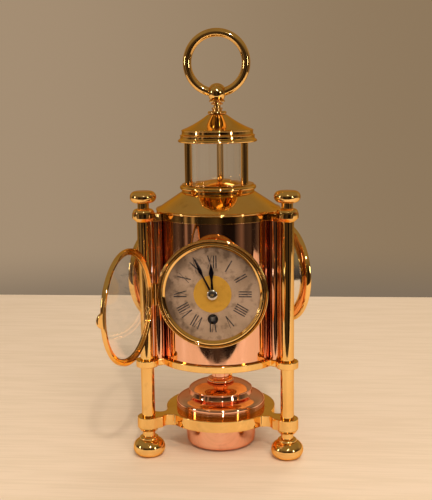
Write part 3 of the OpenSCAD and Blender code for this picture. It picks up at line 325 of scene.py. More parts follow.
cup = (
    [(0, 1.5)] + arc(23.7, 5.5, 4, -90, 0, 12)
    + [(28.9, BRACKET_LOW), (28.9, 32.35), (34.55, 32.35), (34.55, 33.35), (27.9, 33.35), (27.9, BRACKET_LOW)]
    + arc(23.7, 5.5, 3, 0, -90, 12) + [(0, 2.5)]
)
cover = (
    [(34.6, BRACKET_HIGH), (COVER_R, BRACKET_HIGH)] + groove(COVER_R, 33.4) + groove(COVER_R, 34.9)
    + bowed((COVER_R, 36.7), (35.2, 40.2), (26.4, 41.3), 14) + [(25.3, 41.7), (24.9, 42.3), (24.1, 45.4)]
    + arc(24.6, 46.3, 0.9, -120, 50, 10) + bowed((24.9, 47.2), (20.2, 50.9), (10.9, COVER_TOP))
    + [(HOLE_R, COVER_TOP), (HOLE_R, 50.5)] + bowed((10.8, 50.5), (19.7, 49.9), (23.4, 46.6))
    + [(23.2, 45.4), (23.9, 42.2), (24.3, 40.7)] + bowed((26.2, 40.3), (34, 39.4), (34.6, 36.5))
)
stem = (
    [(0, 42.2), (STUD_R, 42.2), (STUD_R, COVER_TOP)] + flat_ball(21.8, COLLAR_H, COVER_TOP)
    + [(STEM_R, COVER_TOP + COLLAR_H)] + arc(7.3, 55.5, 1, 246, 114, 8)
    + [(STEM_R, 72.8), (STUD_R, 72.8), (STUD_R, 77.4), (0, 77.4)]
)
fitted("spun_cup", turned(cup, 160), COPPER, "frame", ["font_cup"])
fitted("spun_cover", turned(cover, 160, True, 0.2), COPPER, "frame", ["font_cover"])
fitted("turned_stem", turned(stem, 96), COPPER, "frame", ["font_stem"])


# Drum. A copper tube between the two plates, with three round holes for the cases, and a solid
# copper column between it and each post. Upright dark streaks, strongest on its top half, are painted
# reflections.
def copper_painted_streaks():
    """Copper with painted dark reflections in upright streaks, strongest on its top half."""
    finish = Finish("copper_painted_streaks", Metallic=1.0, Specular_Tint=(0.95, 0.52, 0.36, 1))
    height = finish.add("ShaderNodeSeparateXYZ", {}, {0: finish.place}, "Z")
    reflection_streaks = finish.noise(7, 3.0, (1.0, 1.0, 0.035)).between(0.42, 0.72)
    top_reflection = height.between(0.118, 0.178)
    marks = finish.noise(0.7, 2.0, (1.0, 1.0, 0.05))
    specks = finish.noise(1.8, 2.0).between(0.68, 0.8)
    tone = finish.colour(finish.noise(30, 3.0), (0.97, 0.58, 0.42, 1), (0.95, 0.52, 0.36, 1))
    # Painted reflection: upright dark streaks on the copper, much stronger on the top half of the drum.
    tone = finish.colour(reflection_streaks * (0.06 + 0.25 * top_reflection) + specks * 0.3, tone, (0.48, 0.15, 0.08, 1))
    roughness = 0.03 + 0.02 * marks + 0.05 * reflection_streaks + 0.12 * specks
    return finish.wear(tone, roughness, finish.noise(24, 1.0, (1.0, 1.0, 0.3)) + 0.01 * marks, 0.04)


DRUM_COPPER = copper_painted_streaks()
DRUM_LOW = 78.4
DRUM_R, DRUM_BORE_R = 48, 46.8
COLUMN_R, COLUMN_CIRCLE = 4.3, 52.35
DIAL_Z = 136.5
FRONT, BAROMETER, THERMOMETER = 0, 120, 240
CASE_ANGLES = (FRONT, BAROMETER, THERMOMETER)
CASE_HOLE_R = 35.05


def tube(inner, outer, low, high):
    """Profile of a plain tube, or of a rod or disc where inner is 0."""
    return [(inner, low), (outer, low), (outer, high), (inner, high)]


def joined(*shapes):
    """Several shapes as one piece."""
    whole = bmesh.new()
    for shape in shapes:
        part = bpy.data.meshes.new("part")
        shape.to_mesh(part)
        whole.from_mesh(part)
        bpy.data.meshes.remove(part)
        shape.free()
    return whole


def in_case(shape, angle):
    """Moves a shape drawn on the upright axis into the case at that angle."""
    return moved(shape, turn(90, "X"), shifted(0, 0, DIAL_Z), turn(angle, "Z"))


def cut_away(shape, cutter):
    """The shape with the cutter's space taken out of it."""
    made = []
    for name, part in (("blank", shape), ("cutter", cutter)):
        mesh = bpy.data.meshes.new(name)
        part.to_mesh(mesh)
        part.free()
        made.append(bpy.data.objects.new(name, mesh))
        bpy.context.scene.collection.objects.link(made[-1])
    blank, tool = made
    cut = blank.modifiers.new("cut", "BOOLEAN")
    cut.operation, cut.solver, cut.object = "DIFFERENCE", "EXACT", tool
    result = bmesh.new()
    result.from_object(blank, bpy.context.evaluated_depsgraph_get())
    for part in made:
        mesh = part.data
        bpy.data.objects.remove(part)
        bpy.data.meshes.remove(mesh)
    return result


drum_wall = turned(tube(DRUM_BORE_R, DRUM_R, DRUM_LOW, DRUM_HIGH), 360, True, 0.1)
drills = [in_case(turned(tube(0, CASE_HOLE_R, 10, 53), 180, False, 0), angle) for angle in CASE_ANGLES]
columns = three_times(turned(tube(0, COLUMN_R, DRUM_LOW, DRUM_HIGH), 64), COLUMN_CIRCLE)
fitted("copper_tube", cut_away(drum_wall, joined(*drills)), DRUM_COPPER, "frame", ["copper_drum"])
fitted("copper_columns", columns, DRUM_COPPER, "frame", ["drum_columns"])


# Roof and gallery. The roof is spun brass with a rolled edge. The gallery on it is turned: a
# rounded rim between two steps, with a seat for the glass and a domed floor inside.
ROOF_TOP = 205.8
LANTERN_LOW, LANTERN_HIGH = 212.2, 244.5
GLASS_HOLE_R = 19.85
FLOOR_TOP = 215.4
FLOOR_EDGE_R = 18.45
FLOOR_DOME_R = 49.08
roof = (
    [(0, 204.8), (28.6, 204.8), (45, 193.9), (45, 191.9)] + arc(48.2, 192.7, 0.8, -90, 90, 8)
    + [(47.4, 193.5), (28.9, ROOF_TOP), (0, ROOF_TOP)]
)
dome_edge = math.degrees(math.acos(FLOOR_EDGE_R / FLOOR_DOME_R))
gallery = (
    [(0, ROOF_TOP), (28.4, ROOF_TOP), (28.4, 207.6)] + arc(28.1, 209.4, 1.8, -80, 90, 14) + [(28, 211.2)]
    + [(28, LANTERN_LOW), (GLASS_HOLE_R, LANTERN_LOW), (GLASS_HOLE_R, 210.6), (FLOOR_EDGE_R, 210.6)]
    + arc(0, FLOOR_TOP - FLOOR_DOME_R, FLOOR_DOME_R, dome_edge, 90, 14)
)
fitted("spun_roof", turned(roof, 180), BRASS, "frame", ["drum_roof"])
fitted("turned_gallery", turned(gallery, 160), BRASS, "frame", ["gallery"])


# Lantern. Three brass rods and a clear glass chimney stand between the gallery and a ring plate.
# The cap over them is spun brass with a stepped rim and a hollow cone.
ROD_R, PEG_R = 2.8, 1.2
ROD_CIRCLE = 25
RING_PLATE_TOP = 246.9


def clear_glass():
    """Old clear glass: nearly without colour, with a little waviness and dust."""
    finish = Finish("clear_glass", Transmission_Weight=1.0, IOR=1.47)
    dust = finish.noise(3, 4.0).between(0.6, 0.85)
    tone = finish.colour(dust * 0.2, (1.0, 1.0, 1.0, 1), (0.93, 0.91, 0.87, 1))
    return finish.wear(tone, 0.05 * dust, finish.noise(14, 1.0), 0.02)


def let_light_through(pane):
    """Clear glass throws no shadow of its own."""
    pane.visible_shadow = False


GLASS = clear_glass()
rod = [
    (0, 209.8), (PEG_R, 209.8), (PEG_R, LANTERN_LOW), (ROD_R, LANTERN_LOW),
    (ROD_R, LANTERN_HIGH), (PEG_R, LANTERN_HIGH), (PEG_R, 246.8), (0, 246.8),
]
chimney = turned(tube(18.5, 19.8, 210.65, 246.05), 128, True, 0.4)
ring_plate = [
    (GLASS_HOLE_R, LANTERN_HIGH), (28.7, LANTERN_HIGH), (28.7, RING_PLATE_TOP), (17.2, RING_PLATE_TOP),
    (17.2, 246.1), (GLASS_HOLE_R, 246.1),
]
cap = (
    [(0, 264.5), (6.4, 264.5)] + bowed((6.6, 264.4), (15.6, 257.6), (25.8, 253.5))
    + [(26.8, 252.9), (26.9, 250.6), (28.1, 249.2), (28.15, 247.2), (28.8, 247), (28.8, LANTERN_HIGH)]
    + arc(29.8, 245.5, 1, -90, 45, 12) + [(29.9, 246.7), (29.2, 247.2), (28.95, 247.6), (28.9, 249.25)]
    + [(29.3, 249.5), (29.3, 249.8), (28.2, 250.3), (27.8, 250.7), (27.7, 252.9), (28.05, 253.2)]
    + [(28, 253.6), (27, 254.3)] + bowed((26.9, 254.35), (16.4, 258.4), (7.4, 265.4)) + [(0, 265.5)]
)
rods = three_times(turned(rod, 48), ROD_CIRCLE)
fitted("lantern_rods", rods, BRASS, "frame", ["lantern_posts"])
let_light_through(fitted("glass_chimney", chimney, GLASS, "frame", ["chimney"]))
fitted("ring_plate", turned(ring_plate, 128, True), BRASS, "frame", ["cap_plate"])
fitted("spun_cap", turned(cap, 160, False, 0.2), BRASS, "frame", ["lantern_cap"])


# Finial and hanging ring. The finial is turned with four beads under a ball, and its ball is
# drilled through with flared mouths. The ring is bent from round brass rod and tips in the ball.
RING_Z = 304.7
RING_R = 22.7
WIRE_R = 3.25
WIRE_PLAY = 0.05
WIRE_SIDES = 64
BALL_Z = 282
HORN_REACH = 8
finial = (
    [(0, 260.5), (STUD_R, 260.5), (STUD_R, 265.5)] + flat_ball(14.6, 2.6, 265.5)
    + [(3.6, 268.1), (3.6, 269.1)] + flat_ball(8.6, 1.6, 269.1, 10)
    + [(2.7, 270.7), (2.7, 272.9)] + flat_ball(9.2, 1.4, 272.9, 10)
    + [(3.3, 274.3), (3.3, 274.9)] + flat_ball(12.2, 1.6, 274.9, 10) + arc(0, BALL_Z, 7.3, -48.9, 90, 40)
)
horn_r = RING_R - WIRE_R - WIRE_PLAY
mouth = [(RING_R - math.sqrt(horn_r**2 - x * x), x) for x in range(-HORN_REACH, HORN_REACH + 1)]
horn = turned([(0, -HORN_REACH)] + mouth + [(0, HORN_REACH)], 96, False, 0)
moved(horn, turn(90, "Y"), shifted(0, 0, BALL_Z))
wire = arc(RING_R, 0, WIRE_R, 0, 360 - 360 / WIRE_SIDES, WIRE_SIDES - 1)
ring = moved(turned(wire, 200, True, 0), turn(90, "X"), shifted(0, 0, RING_Z))
fitted("turned_finial", cut_away(turned(finial, 96), horn), BRASS, "frame", ["cap_finial"])
fitted("bent_ring", ring, BRASS, "ring", ["hanging_ring"])


# Instrument cases. Three deep nickel-plated cups pass through the drum's wall, closed at the
# back; each carries a dial and is covered by its bezel.
NICKEL = polished("nickel_plate", (0.8, 0.77, 0.72), (0.72, 0.68, 0.62), (0.42, 0.37, 0.3), 0.1)
CASE_R, CASE_BORE_R = 35, 34
case = [
    (0, 25.1), (CASE_R, 25.1), (CASE_R, 55.35), (CASE_BORE_R, 55.35), (CASE_BORE_R, 26.1), (0, 26.1)
]
cases = joined(*[in_case(turned(case, 144), angle) for angle in CASE_ANGLES])
fitted("nickel_cases", cases, NICKEL, "frame", ["instrument_cases"])


# Front bezel and dial ring. The bezel is turned brass, rounded at its back, with a dish for the
# dial and two hinge knuckles soldered to its left edge. A narrow sloping ring clamps the dial.
BEZEL_R = 40.8
KNUCKLE_R, KNUCKLE_BORE_R = 1.65, 0.72
HINGE_X = -42.8
HINGE_OUT = 61.1
HINGE_REACH = 8
DOOR_KNUCKLE_REACH = 2.67
KNUCKLE_GAP = 0.25
bezel_back = [(33.95, 55.4)] + bowed((35.2, 55.4), (40.3, 55.6), (BEZEL_R, 60))
bezel_section = [(32.95, 51.25), (33.95, 51.25)] + bezel_back + [
    (BEZEL_R, 60.6), (40.4, 60.95), (39.8, 60.95), (39.4, 60.3), (37.95, 60.3), (37.95, 58.5), (32.95, 58.5)
]
dial_ring = [(35, 59.4), (37.9, 59.4), (37.9, 61.75), (37.3, 61.95), (36.7, 61.95), (35, 60.5)]


def knuckle(low, high):
    """A hinge barrel on the hinge's axis, from one height to another."""
    barrel = turned(tube(KNUCKLE_BORE_R, KNUCKLE_R, low, high), 40, True, 0.15)
    return moved(barrel, turn(-90, "X"), shifted(HINGE_X, 0, HINGE_OUT))


def leaf(low, high, out, thick, width):
    """The flat tongue that joins a hinge barrel to its ring."""
    shape = bmesh.new()
    bmesh.ops.create_cube(shape, size=1)
    bmesh.ops.scale(shape, vec=(width * MM, (high - low) * MM, thick * MM), verts=shape.verts)
    edges = shape.edges[:]
    bmesh.ops.bevel(shape, geom=edges, offset=0.15 * MM, segments=2, profile=0.5, affect="EDGES", material=-1)
    return moved(shape, shifted(HINGE_X + width / 2, (low + high) / 2, out + thick / 2))


outer_from = DOOR_KNUCKLE_REACH + KNUCKLE_GAP
outer_spans = ((-HINGE_REACH, -outer_from), (outer_from, HINGE_REACH))
knuckles = [knuckle(*span) for span in outer_spans]
leaves = [leaf(*span, 59.45, 1, 3.2) for span in outer_spans]
bezel = joined(turned(bezel_section, 200, True, 0.2), *knuckles, *leaves)
clamp = in_case(turned(dial_ring, 200, True, 0.15), FRONT)
fitted("front_bezel", in_case(bezel, FRONT), BRASS, "frame", ["clock_bezel"])
fitted("clamp_ring", clamp, BRASS, "frame", ["dial_ring"])


# Dial. A silvered brass plate, matt and mottled with brown patina, with painted shade darkening its
# edge towards the top left, where the rim shades it, and a gilt disc in the middle that shows its turning
# lines.
DIAL_FACE = 59.35
GILT_FACE = 59.6


def from_middle(finish, centre):
    """The distance from a point in metres, as a pattern."""
    ends = {0: finish.place, 1: centre}
    return finish.add("ShaderNodeVectorMath", {"operation": "DISTANCE"}, ends, "Value")


def silvered(name, centre, patina_and_shade_strength):
    """Matt silvering with cloudy brown patina and painted shade at the edge towards the top left, round a
    dial's centre in metres.
    """
    finish = Finish(name, Metallic=0.3)
    edge = from_middle(finish, centre).between(0.02, 0.036)
    blotches = finish.noise(6, 5.0).between(0.48, 0.68)
    cloud = finish.noise(16, 3.0).between(0.4, 0.65)
    grain = finish.noise(0.6, 3.0)
    spots = finish.noise(1.6, 3.0).between(0.64, 0.76)
    # Painted shade: the dial's edge is darkened towards the top left, where the rim shades it.
    to_upper_left = {0: finish.place, 1: (-0.6, 0, 0.8)}
    lean = finish.add("ShaderNodeVectorMath", {"operation": "DOT_PRODUCT"}, to_upper_left, "Value")
    painted_rim_shade = lean.between(0.085, 0.115)
    tone = finish.colour(cloud, (0.5, 0.33, 0.215, 1), (0.4, 0.26, 0.16, 1))
    # Real patina in blotches, spots and grain, plus the painted shade at the edge.
    patina_and_shade = 0.45 * blotches + edge * painted_rim_shade * (0.45 + 0.4 * cloud) + 0.5 * spots + 0.3 * grain
    stain_and_shade = finish.maths("MINIMUM", patina_and_shade_strength * patina_and_shade, 1.0)
    tone = finish.colour(stain_and_shade, tone, (0.12, 0.07, 0.04, 1))
    roughness = 0.42 + 0.2 * blotches + 0.1 * grain
    return finish.wear(tone, roughness, grain + 0.4 * blotches, 0.03)


def gilt():
    """Gilding over fine turning lines, a little worn."""
    finish = Finish("gilt_centre", Metallic=0.55)
    radians_per_metre = 9000
    middle = (0, -GILT_FACE * MM, DIAL_Z * MM)
    lines = finish.maths("SINE", from_middle(finish, middle) * radians_per_metre)
    worn = finish.noise(6, 4.0).between(0.45, 0.75)
    tone = finish.colour(worn, (0.82, 0.42, 0.055, 1), (0.7, 0.34, 0.04, 1))
    return finish.wear(tone, 0.34 + 0.12 * worn + 0.03 * lines, lines * 0.3 + finish.noise(0.6, 2.0), 0.02)


DIAL = silvered("silvered_dial", (0, -DIAL_FACE * MM, DIAL_Z * MM), 1.0)
centre_disc = in_case(turned(tube(2.8, 14, DIAL_FACE, GILT_FACE), 128, True, 0.06), FRONT)
fitted("silvered_plate", cut_from("clock_dial"), DIAL, "frame", ["clock_dial"], ease=0.12)
fitted("gilt_disc", centre_disc, gilt(), "frame", ["dial_centre"])


# Numerals. Roman hours engraved round the dial with their feet to the centre and filled with
# black wax, which has cracked and rubbed away in places.
NUMERAL_FOOT, NUMERAL_HEAD = 19.3, 28.7
THICK, THIN = 0.85, 0.38
SERIF_H, SERIF_PAST = 0.14, 0.45
STROKES = {
    "I": (1.8, [(0, 0, THICK)]),
    "V": (3.9, [(-1.45, 0, THICK), (1.45, 0, THIN)]),
    "X": (3.9, [(-1.45, 1.45, THICK), (1.45, -1.45, THIN)]),
}
HOURS = ["XII", "I", "II", "III", "IIII", "V", "VI", "VII", "VIII", "IX", "X", "XI"]


def black_wax():
    """Black engraver's wax, cracked and partly rubbed away."""
    finish = Finish("worn_wax")
    worn = finish.noise(2.6, 4.0).between(0.5, 0.68)
    tone = finish.colour(worn * 0.75, (0.012, 0.01, 0.014, 1), (0.2, 0.14, 0.11, 1))
    return finish.wear(tone, 0.4 + 0.3 * worn, finish.noise(0.5, 2.0), 0.02)


def stroke(x_head, x_foot, head, foot, width, out, deep=0.03):
    """A flat stroke on a dial's face, from its head to its foot."""
    ends = Vector((x_head, head, 0)), Vector((x_foot, foot, 0))
    along = ends[0] - ends[1]
    shape = bmesh.new()
    bmesh.ops.create_cube(shape, size=1)
    bmesh.ops.scale(shape, vec=(width * MM, along.length * MM, deep * MM), verts=shape.verts)
    lean = math.degrees(math.atan2(-along.x, along.y))
    middle = (ends[0] + ends[1]) / 2
    return moved(shape, turn(lean, "Z"), shifted(middle.x, middle.y, out + deep / 2))


def serif(x, r, width):
    """The short cross stroke at a stroke's end."""
    return stroke(x, x, r + SERIF_H / 2, r - SERIF_H / 2, width + SERIF_PAST, DIAL_FACE, 0.025)


def numeral(text):
    """The strokes of one hour, upright above the dial's centre."""
    strokes = []
    x = -sum(STROKES[letter][0] for letter in text) / 2
    for letter in text:
        advance, lines = STROKES[letter]
        middle = x + advance / 2
        for head, foot, width in lines:
            strokes.append(stroke(middle + head, middle + foot, NUMERAL_HEAD, NUMERAL_FOOT, width, DIAL_FACE))
            strokes.append(serif(middle + head, NUMERAL_HEAD, width))
            strokes.append(serif(middle + foot, NUMERAL_FOOT, width))
        x += advance
    return strokes


hours = []
for hour, text in enumerate(HOURS):
    for part in numeral(text):
        hours.append(moved(part, turn(-30 * hour, "Z")))
WAX = black_wax()
fitted("waxed_numerals", in_case(joined(*hours), FRONT), WAX, "frame", [])


# Hands and collet. Hour and minute hands are sawn from steel, filed to a lozenge and a fine point
# and blued in the flame. A polished steel collet holds them on the centre arbor.
def blued_steel():
    """Blue-black steel, a little purple and brown where the heat was uneven."""
    finish = Finish("blued_steel", Metallic=1.0)
    heat = finish.noise(7, 3.0)
    rust = finish.noise(1.2, 3.0).between(0.62, 0.74)
    tone = finish.colour(heat.between(0.35, 0.7), (0.022, 0.024, 0.05, 1), (0.05, 0.028, 0.045, 1))
    tone = finish.colour(rust * 0.5, tone, (0.09, 0.05, 0.035, 1))
    return finish.wear(tone, 0.22 + 0.15 * heat + 0.25 * rust, finish.noise(0.8, 2.0), 0.01)


BLUED = blued_steel()
STEEL = polished("polished_steel", (0.62, 0.6, 0.58), (0.52, 0.5, 0.48), (0.2, 0.15, 0.12), 0.16)
collet = [(0.95, 62.05), (3.9, 62.05), (3.9, 62.4), (3.4, 62.75), (2.2, 63.0), (0.95, 63.05)]
dome = in_case(turned(collet, 72, True, 0.1), FRONT)
fitted("hour_blade", cut_from("hour_hand"), BLUED, "hour", ["hour_hand"], ease=0.14)
fitted("minute_blade", cut_from("minute_hand"), BLUED, "minute", ["minute_hand"], ease=0.12)
fitted("domed_collet", dome, STEEL, "minute", ["hand_collet"])


# Door. A turned brass ring with a rounded face, a hinge knuckle on one side and a thin thumb tab
# on the other. A flat glass sits against its lip and a sprung brass ring holds it from behind.
DOOR_OPEN = 104
PIN_R = 0.7
door_section = [
    (38.35, 61.3), (40.6, 61.3), (BEZEL_R, 61.6), (BEZEL_R, 63.6), (40.4, 64.5), (39.5, 65.1), (38.5, 65.3),
    (36.5, 65.1), (36.1, 64.8), (36.1, 64.55), (38, 64.55), (38, 62.4), (38.35, 62.4),
]
door_span = (-DOOR_KNUCKLE_REACH, DOOR_KNUCKLE_REACH)


def swung_open(shape):
    """Opens a shape drawn on the closed door."""
    hinge = (HINGE_X, -HINGE_OUT, 0)
    back = tuple(-c for c in hinge)
    return moved(in_case(shape, FRONT), shifted(*back), turn(-DOOR_OPEN, "Z"), shifted(*hinge))


def thumb_tab():
    """A thin round-edged tab that stands out from the door's rim, bent forward."""
    disc = turned([(0, -0.8)] + flat_ball(11.2, 1.6, -0.8, 10) + [(0, 0.8)], 64)
    moved(disc, turn(-25, "Y"), shifted(39.8, 0, 62.9))
    geometry = disc.verts[:] + disc.edges[:] + disc.faces[:]
    cut_off = (40.3 * MM, 0, 0)
    inwards = (-1, 0, 0)
    bmesh.ops.bisect_plane(
        disc, geom=geometry, plane_co=cut_off, plane_no=inwards, clear_outer=True, dist=1e-7
    )
    bmesh.ops.holes_fill(disc, edges=disc.edges, sides=0)
    return disc


door_ring = turned(door_section, 200, True, 0.25)
rim = swung_open(joined(door_ring, knuckle(*door_span), leaf(*door_span, 61.65, 1.1, 3), thumb_tab()))
pane = swung_open(turned(tube(0, 37.95, 63.4, 64.5), 128, False, 0.3))
spring = swung_open(turned(tube(36.45, 37.95, 62.55, 63.35), 128, True, 0.15))
pin = turned(tube(0, PIN_R, -HINGE_REACH, HINGE_REACH), 32, False, 0.2)
pin = in_case(moved(pin, turn(-90, "X"), shifted(HINGE_X, 0, HINGE_OUT)), FRONT)
fitted("door_rim", rim, BRASS, "door", ["door_ring"])
let_light_through(fitted("door_pane", pane, GLASS, "door", ["door_glass"]))
fitted("door_spring", spring, BRASS, "door", ["door_glass_ring"])
fitted("steel_hinge_pin", pin, STEEL, "frame", ["hinge_pin"])


# Rear bezels, glasses and dials. The barometer and the thermometer behind have fixed bezels that
# hold a flat glass over a silvered dial with a divided scale and numbers.
REAR_ANGLES = (BAROMETER, THERMOMETER)
REAR_BACK, REAR_FACE = 50.25, 51.05
PANE_R, PANE_LOW, PANE_HIGH = 36.4, 58.4, 60
SET_HOLE_R = 1.05
SCALE_INNER, SCALE_OUTER = 27.4, 30.6
rear_bezel = bezel_back + [
    (BEZEL_R, 60.6), (40.2, 60.95), (36, 61.25), (35.2, 60.95), (35.2, 60.05), (36.45, 60.05), (36.45, 58.35),
    (35.15, 58.35), (32.95, 55.75), (32.95, 51.1), (33.95, 51.1),
]
rear_plate = tube(1.2, 33.85, REAR_BACK, REAR_FACE)
rims = joined(*[in_case(turned(rear_bezel, 200, True, 0.2), angle) for angle in REAR_ANGLES])
panes = joined(
    in_case(turned(tube(SET_HOLE_R, PANE_R, PANE_LOW, PANE_HIGH), 128, True, 0.3), BAROMETER),
    in_case(turned(tube(0, PANE_R, PANE_LOW, PANE_HIGH), 128, False, 0.3), THERMOMETER),
)
plates = joined(*[in_case(turned(rear_plate, 160, True, 0.1), angle) for angle in REAR_ANGLES])
# The rear dials take the same patina and painted shade, more weakly.
REAR_SILVER = silvered("silvered_rear_dials", (0, 0, DIAL_Z * MM), 0.35)
fitted("rear_rims", rims, BRASS, "frame", ["rear_bezels"])
let_light_through(fitted("rear_panes", panes, GLASS, "frame", ["rear_glasses"]))
fitted("rear_plates", plates, REAR_SILVER, "frame", ["rear_dials"])


def number(text, size, r, angle, out):
    """A number that stands upright on a dial, at a radius and an angle."""
    half_deep = 0.012
    words = bpy.data.curves.new("number", "FONT")
    words.body, words.size, words.extrude, words.resolution_u = text, size * MM, half_deep * MM, 3
    words.align_x, words.align_y = "CENTER", "CENTER"
    holder = bpy.data.objects.new("number", words)
    bpy.context.scene.collection.objects.link(holder)
    mesh = bpy.data.meshes.new_from_object(holder.evaluated_get(bpy.context.evaluated_depsgraph_get()))
    shape = bmesh.new()
    shape.from_mesh(mesh)
    bpy.data.meshes.remove(mesh)
    bpy.data.objects.remove(holder)
    bpy.data.curves.remove(words)
    bmesh.ops.remove_doubles(shape, verts=shape.verts, dist=0.001 * MM)
    turned_to = math.radians(angle)
    return moved(shape, shifted(r * math.sin(turned_to), r * math.cos(turned_to), out + half_deep))


def scale(case_angle, numbers, span, small):
    """A divided scale: two fine circles, long strokes at the numbers and small ones between."""
    parts = []
    for r in (SCALE_INNER, SCALE_OUTER):
        parts.append(turned(tube(r, r + 0.18, REAR_FACE, REAR_FACE + 0.02), 160, True, 0))
    intervals = (len(numbers) - 1) * small
    for i in range(intervals + 1):
        foot, width = (26.8, 0.34) if i % small == 0 else (28.6, 0.2)
        tick = stroke(0, 0, SCALE_OUTER, foot, width, REAR_FACE, 0.02)
        parts.append(moved(tick, turn(-span * (i / intervals - 0.5), "Z")))
    for i, text in enumerate(numbers):
        parts.append(number(text, 3.8, 23.6, span * (i / (len(numbers) - 1) - 0.5), REAR_FACE))
    return in_case(joined(*parts), case_angle)


inches = scale(BAROMETER, ["27", "28", "29", "30", "31"], 270, 10)
degrees = scale(THERMOMETER, ["0", "20", "40", "60", "80", "100", "120"], 240, 10)
fitted("waxed_scales", joined(inches, degrees), WAX, "frame", [])
rear_hands = (
    ("barometer_blade", "barometer_hand", BLUED, "blued_steel"),
    ("set_blade", "barometer_set_hand", BRASS, "brass"),
    ("thermometer_blade", "thermometer_hand", BLUED, "blued_steel"),
)
for name, node, finish, slot in rear_hands:
    fitted(name, cut_from(node), finish, node, [node], ease=0.1)


# Movement. Inside the front case, out of sight: brass plates and wheels, steel arbors, springs
# and screws. The CAD shapes are kept and take a brushed finish, and the capsule is nickel.
def brushed(name, bright, deep):
    """Metal left from the file and the stone, with fine straight lines."""
    finish = Finish(name, Metallic=1.0)
    lines = finish.noise(0.35, 3.0, (1.0, 1.0, 0.06))
    clouds = finish.noise(6, 3.0)
    tone = finish.colour(clouds, (*bright, 1), (*deep, 1))
    return finish.wear(tone, 0.26 + 0.14 * lines + 0.08 * clouds, lines, 0.02)


MOVEMENT_BRASS = brushed("brushed_brass", (0.86, 0.62, 0.28), (0.76, 0.5, 0.2))
MOVEMENT_STEEL = brushed("brushed_steel", (0.56, 0.55, 0.54), (0.42, 0.41, 0.4))
brass_nodes = [
    "hour_wheel", "minute_wheel", "front_plate", "back_plate", "plate_pillars", "barrel",
    "intermediate_wheel", "centre_wheel", "third_wheel", "fourth_wheel", "balance_wheel", "balance_cock",
]
steel_nodes = [
    "cannon_pinion", "plate_screws", "mainspring", "winding_arbor", "ratchet_wheel", "click", "click_spring",
    "escape_wheel", "lever", "bimetal_coil",
]
finishes = (MOVEMENT_BRASS, brass_nodes), (MOVEMENT_STEEL, steel_nodes), (NICKEL, ["aneroid_capsule"])
for finish, names in finishes:
    for name in names:
        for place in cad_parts[name].material_slots:
            place.material = finish


# Table, room and camera. The clock stands on a plain pale table in a soft-lit room; a tall window
# on each side and the dark things between them, as bands round the room, give the metal its streaks.
TABLE_SIZE = (1.9, 0.86, 0.03)
TABLE_Y = 0.115


def pale_table():
    """Pale limed wood with hardly any grain."""
    finish = Finish("pale_table", Specular_IOR_Level=0.3)
    grain = 0.5 * finish.noise(14, 4.0, (0.15, 1.0, 1.0)) + 0.5 * finish.noise(3, 3.0, (0.05, 1.0, 1.0))
    grain = grain.between(0.4, 0.6)
    tone = finish.colour(grain, (0.88, 0.68, 0.49, 1), (0.82, 0.63, 0.44, 1))
    return finish.wear(tone, 0.5 + 0.1 * grain)


table = bmesh.new()
bmesh.ops.create_cube(table, size=1)
bmesh.ops.transform(table, matrix=Matrix.Diagonal((*TABLE_SIZE, 1)), verts=table.verts)
edges = table.edges[:]
bmesh.ops.bevel(table, geom=edges, offset=0.004, segments=3, profile=0.5, affect="EDGES", material=-1)
moved(table, Matrix.Translation((0, TABLE_Y, -TABLE_SIZE[2] / 2)))
table_mesh = bpy.data.meshes.new("table_top")
table.to_mesh(table_mesh)
table.free()
table_mesh.materials.append(pale_table())
table_top = bpy.data.objects.new("table_top", table_mesh)
bpy.context.scene.collection.objects.link(table_top)

scene = bpy.context.scene
scene.view_settings.view_transform = "Standard"
scene.world = bpy.data.worlds.new("room")
scene.world.use_nodes = True
room = Nodes(scene.world.node_tree)
looking = room.add("ShaderNodeTexCoord", {}, {}, "Generated")
side = room.add("ShaderNodeSeparateXYZ", {}, {0: looking}, "X")
back, up = side.other("Y"), side.other("Z")
azimuth = room.maths("ARCTAN2", side, 0.0 - back)
BANDS = [
    (-180, 0.3), (-120, 0.25), (-100, 0.09), (-86, 0.04), (-77, 0.1), (-66, 0.03), (-62, 0.05), (-58, 0.36),
    (-53, 0.05), (-47, 0.05), (-43, 0.4), (-38, 0.04), (-30, 0.016), (-14, 0.03), (2, 0.065), (9, 0.03),
    (14, 0.008), (34, 0.008), (41, 0.08), (48, 0.19), (55, 0.04), (66, 0.06), (70, 0.018), (76, 0.025),
    (84, 0.12), (89, 0.06), (95, 0.16), (103, 0.02), (125, 0.25), (180, 0.3),
]
stops = [((angle + 180) / 360, (tone, tone * 0.66, tone * 0.4, 1)) for angle, tone in BANDS]
shadows = room.add("ShaderNodeValToRGB", {"stops": stops}, {0: azimuth / math.tau + 0.5})
# Painted shade: the backdrop seen behind the clock is darker towards the right.
backdrop_with_shade = room.colour(side.between(-0.33, 0.16), (0.375, 0.27, 0.173, 1), (0.27, 0.187, 0.108, 1))
backdrop_with_shade = room.colour(up.between(-0.24, -0.16), (0.2, 0.152, 0.105, 1), backdrop_with_shade)
mirrored_wall = room.colour(up.between(0.0, 0.2), (0.25, 0.175, 0.085, 1), (0.35, 0.26, 0.145, 1))
front = room.colour(up.between(0.1, 0.45), shadows, (0.17, 0.12, 0.065, 1))
around = room.colour(back.between(0.05, 0.4), front, mirrored_wall)
reflected = room.colour(up.between(0.3, 0.65), around, (0.25, 0.185, 0.09, 1))
path = room.add("ShaderNodeLightPath", {}, {}, "Is Camera Ray")
plain = room.maths("MAXIMUM", path, path.other("Is Transmission Ray"))
lit = room.colour(path.other("Is Glossy Ray"), (0.46, 0.42, 0.37, 1), reflected)
room.feed("Background", "Color", room.colour(plain, lit, backdrop_with_shade))


LAMP_AIM = Vector((0, 0, 0.15))


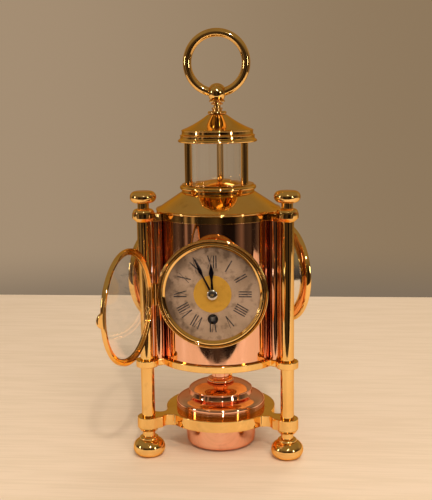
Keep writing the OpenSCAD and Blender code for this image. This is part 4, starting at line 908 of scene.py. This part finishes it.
def lamp(name, azimuth, elevation, distance, size, power, tint, mirrored=True):
    """A lamp that faces the clock; azimuth 0 is in front and 90 on the right."""
    light = bpy.data.lights.new(name, "AREA")
    light.shape, light.size, light.size_y = "RECTANGLE", *size
    light.energy, light.color = power, tint
    holder = bpy.data.objects.new(name, light)
    round_clock, rise = math.radians(azimuth), math.radians(elevation)
    level = Vector((math.sin(round_clock), -math.cos(round_clock), 0))
    way = level * math.cos(rise) + Vector((0, 0, math.sin(rise)))
    holder.location = LAMP_AIM + way * distance
    holder.rotation_euler = way.to_track_quat("Z", "Y").to_euler()
    holder.visible_glossy = mirrored
    scene.collection.objects.link(holder)


lamp("key_lamp", 11.4, 34.9, 1.66, (0.07, 0.07), 8, (1.0, 0.93, 0.84))
lamp("soft_lamp", 20, 50, 1.8, (1.1, 1.1), 15, (1.0, 0.94, 0.86), mirrored=False)
lamp("right_window", 49, 9, 1.6, (0.1, 0.36), 1.6, (1.0, 0.97, 0.92))
lamp("left_window", -66, 11, 1.6, (0.12, 0.36), 1.6, (1.0, 0.96, 0.9))
lamp("rear_lamp", 165, 45, 1.7, (0.6, 0.6), 5, (1.0, 0.94, 0.86), mirrored=False)

CAMERA_PLACE = (0.06165, -0.7224, 0.28432)
YAW, PITCH, ROLL = math.radians(5.055), 0.171, 0.013
LENS, SENSOR = 66.864, 36
along, across = Vector((-math.sin(YAW), math.cos(YAW), 0)), Vector((math.cos(YAW), math.sin(YAW), 0))
forward = along * math.cos(PITCH) - Vector((0, 0, math.sin(PITCH)))
above = along * math.sin(PITCH) + Vector((0, 0, math.cos(PITCH)))
right = across * math.cos(ROLL) - above * math.sin(ROLL)
top = across * math.sin(ROLL) + above * math.cos(ROLL)
facing = Matrix((right, top, -forward)).transposed().to_4x4()
camera = bpy.data.objects.new("camera", bpy.data.cameras.new("camera"))
camera.matrix_world = Matrix.Translation(CAMERA_PLACE) @ facing
camera.data.lens, camera.data.sensor_width = LENS, SENSOR
camera.data.clip_start = 0.01
scene.collection.objects.link(camera)
scene.camera = camera
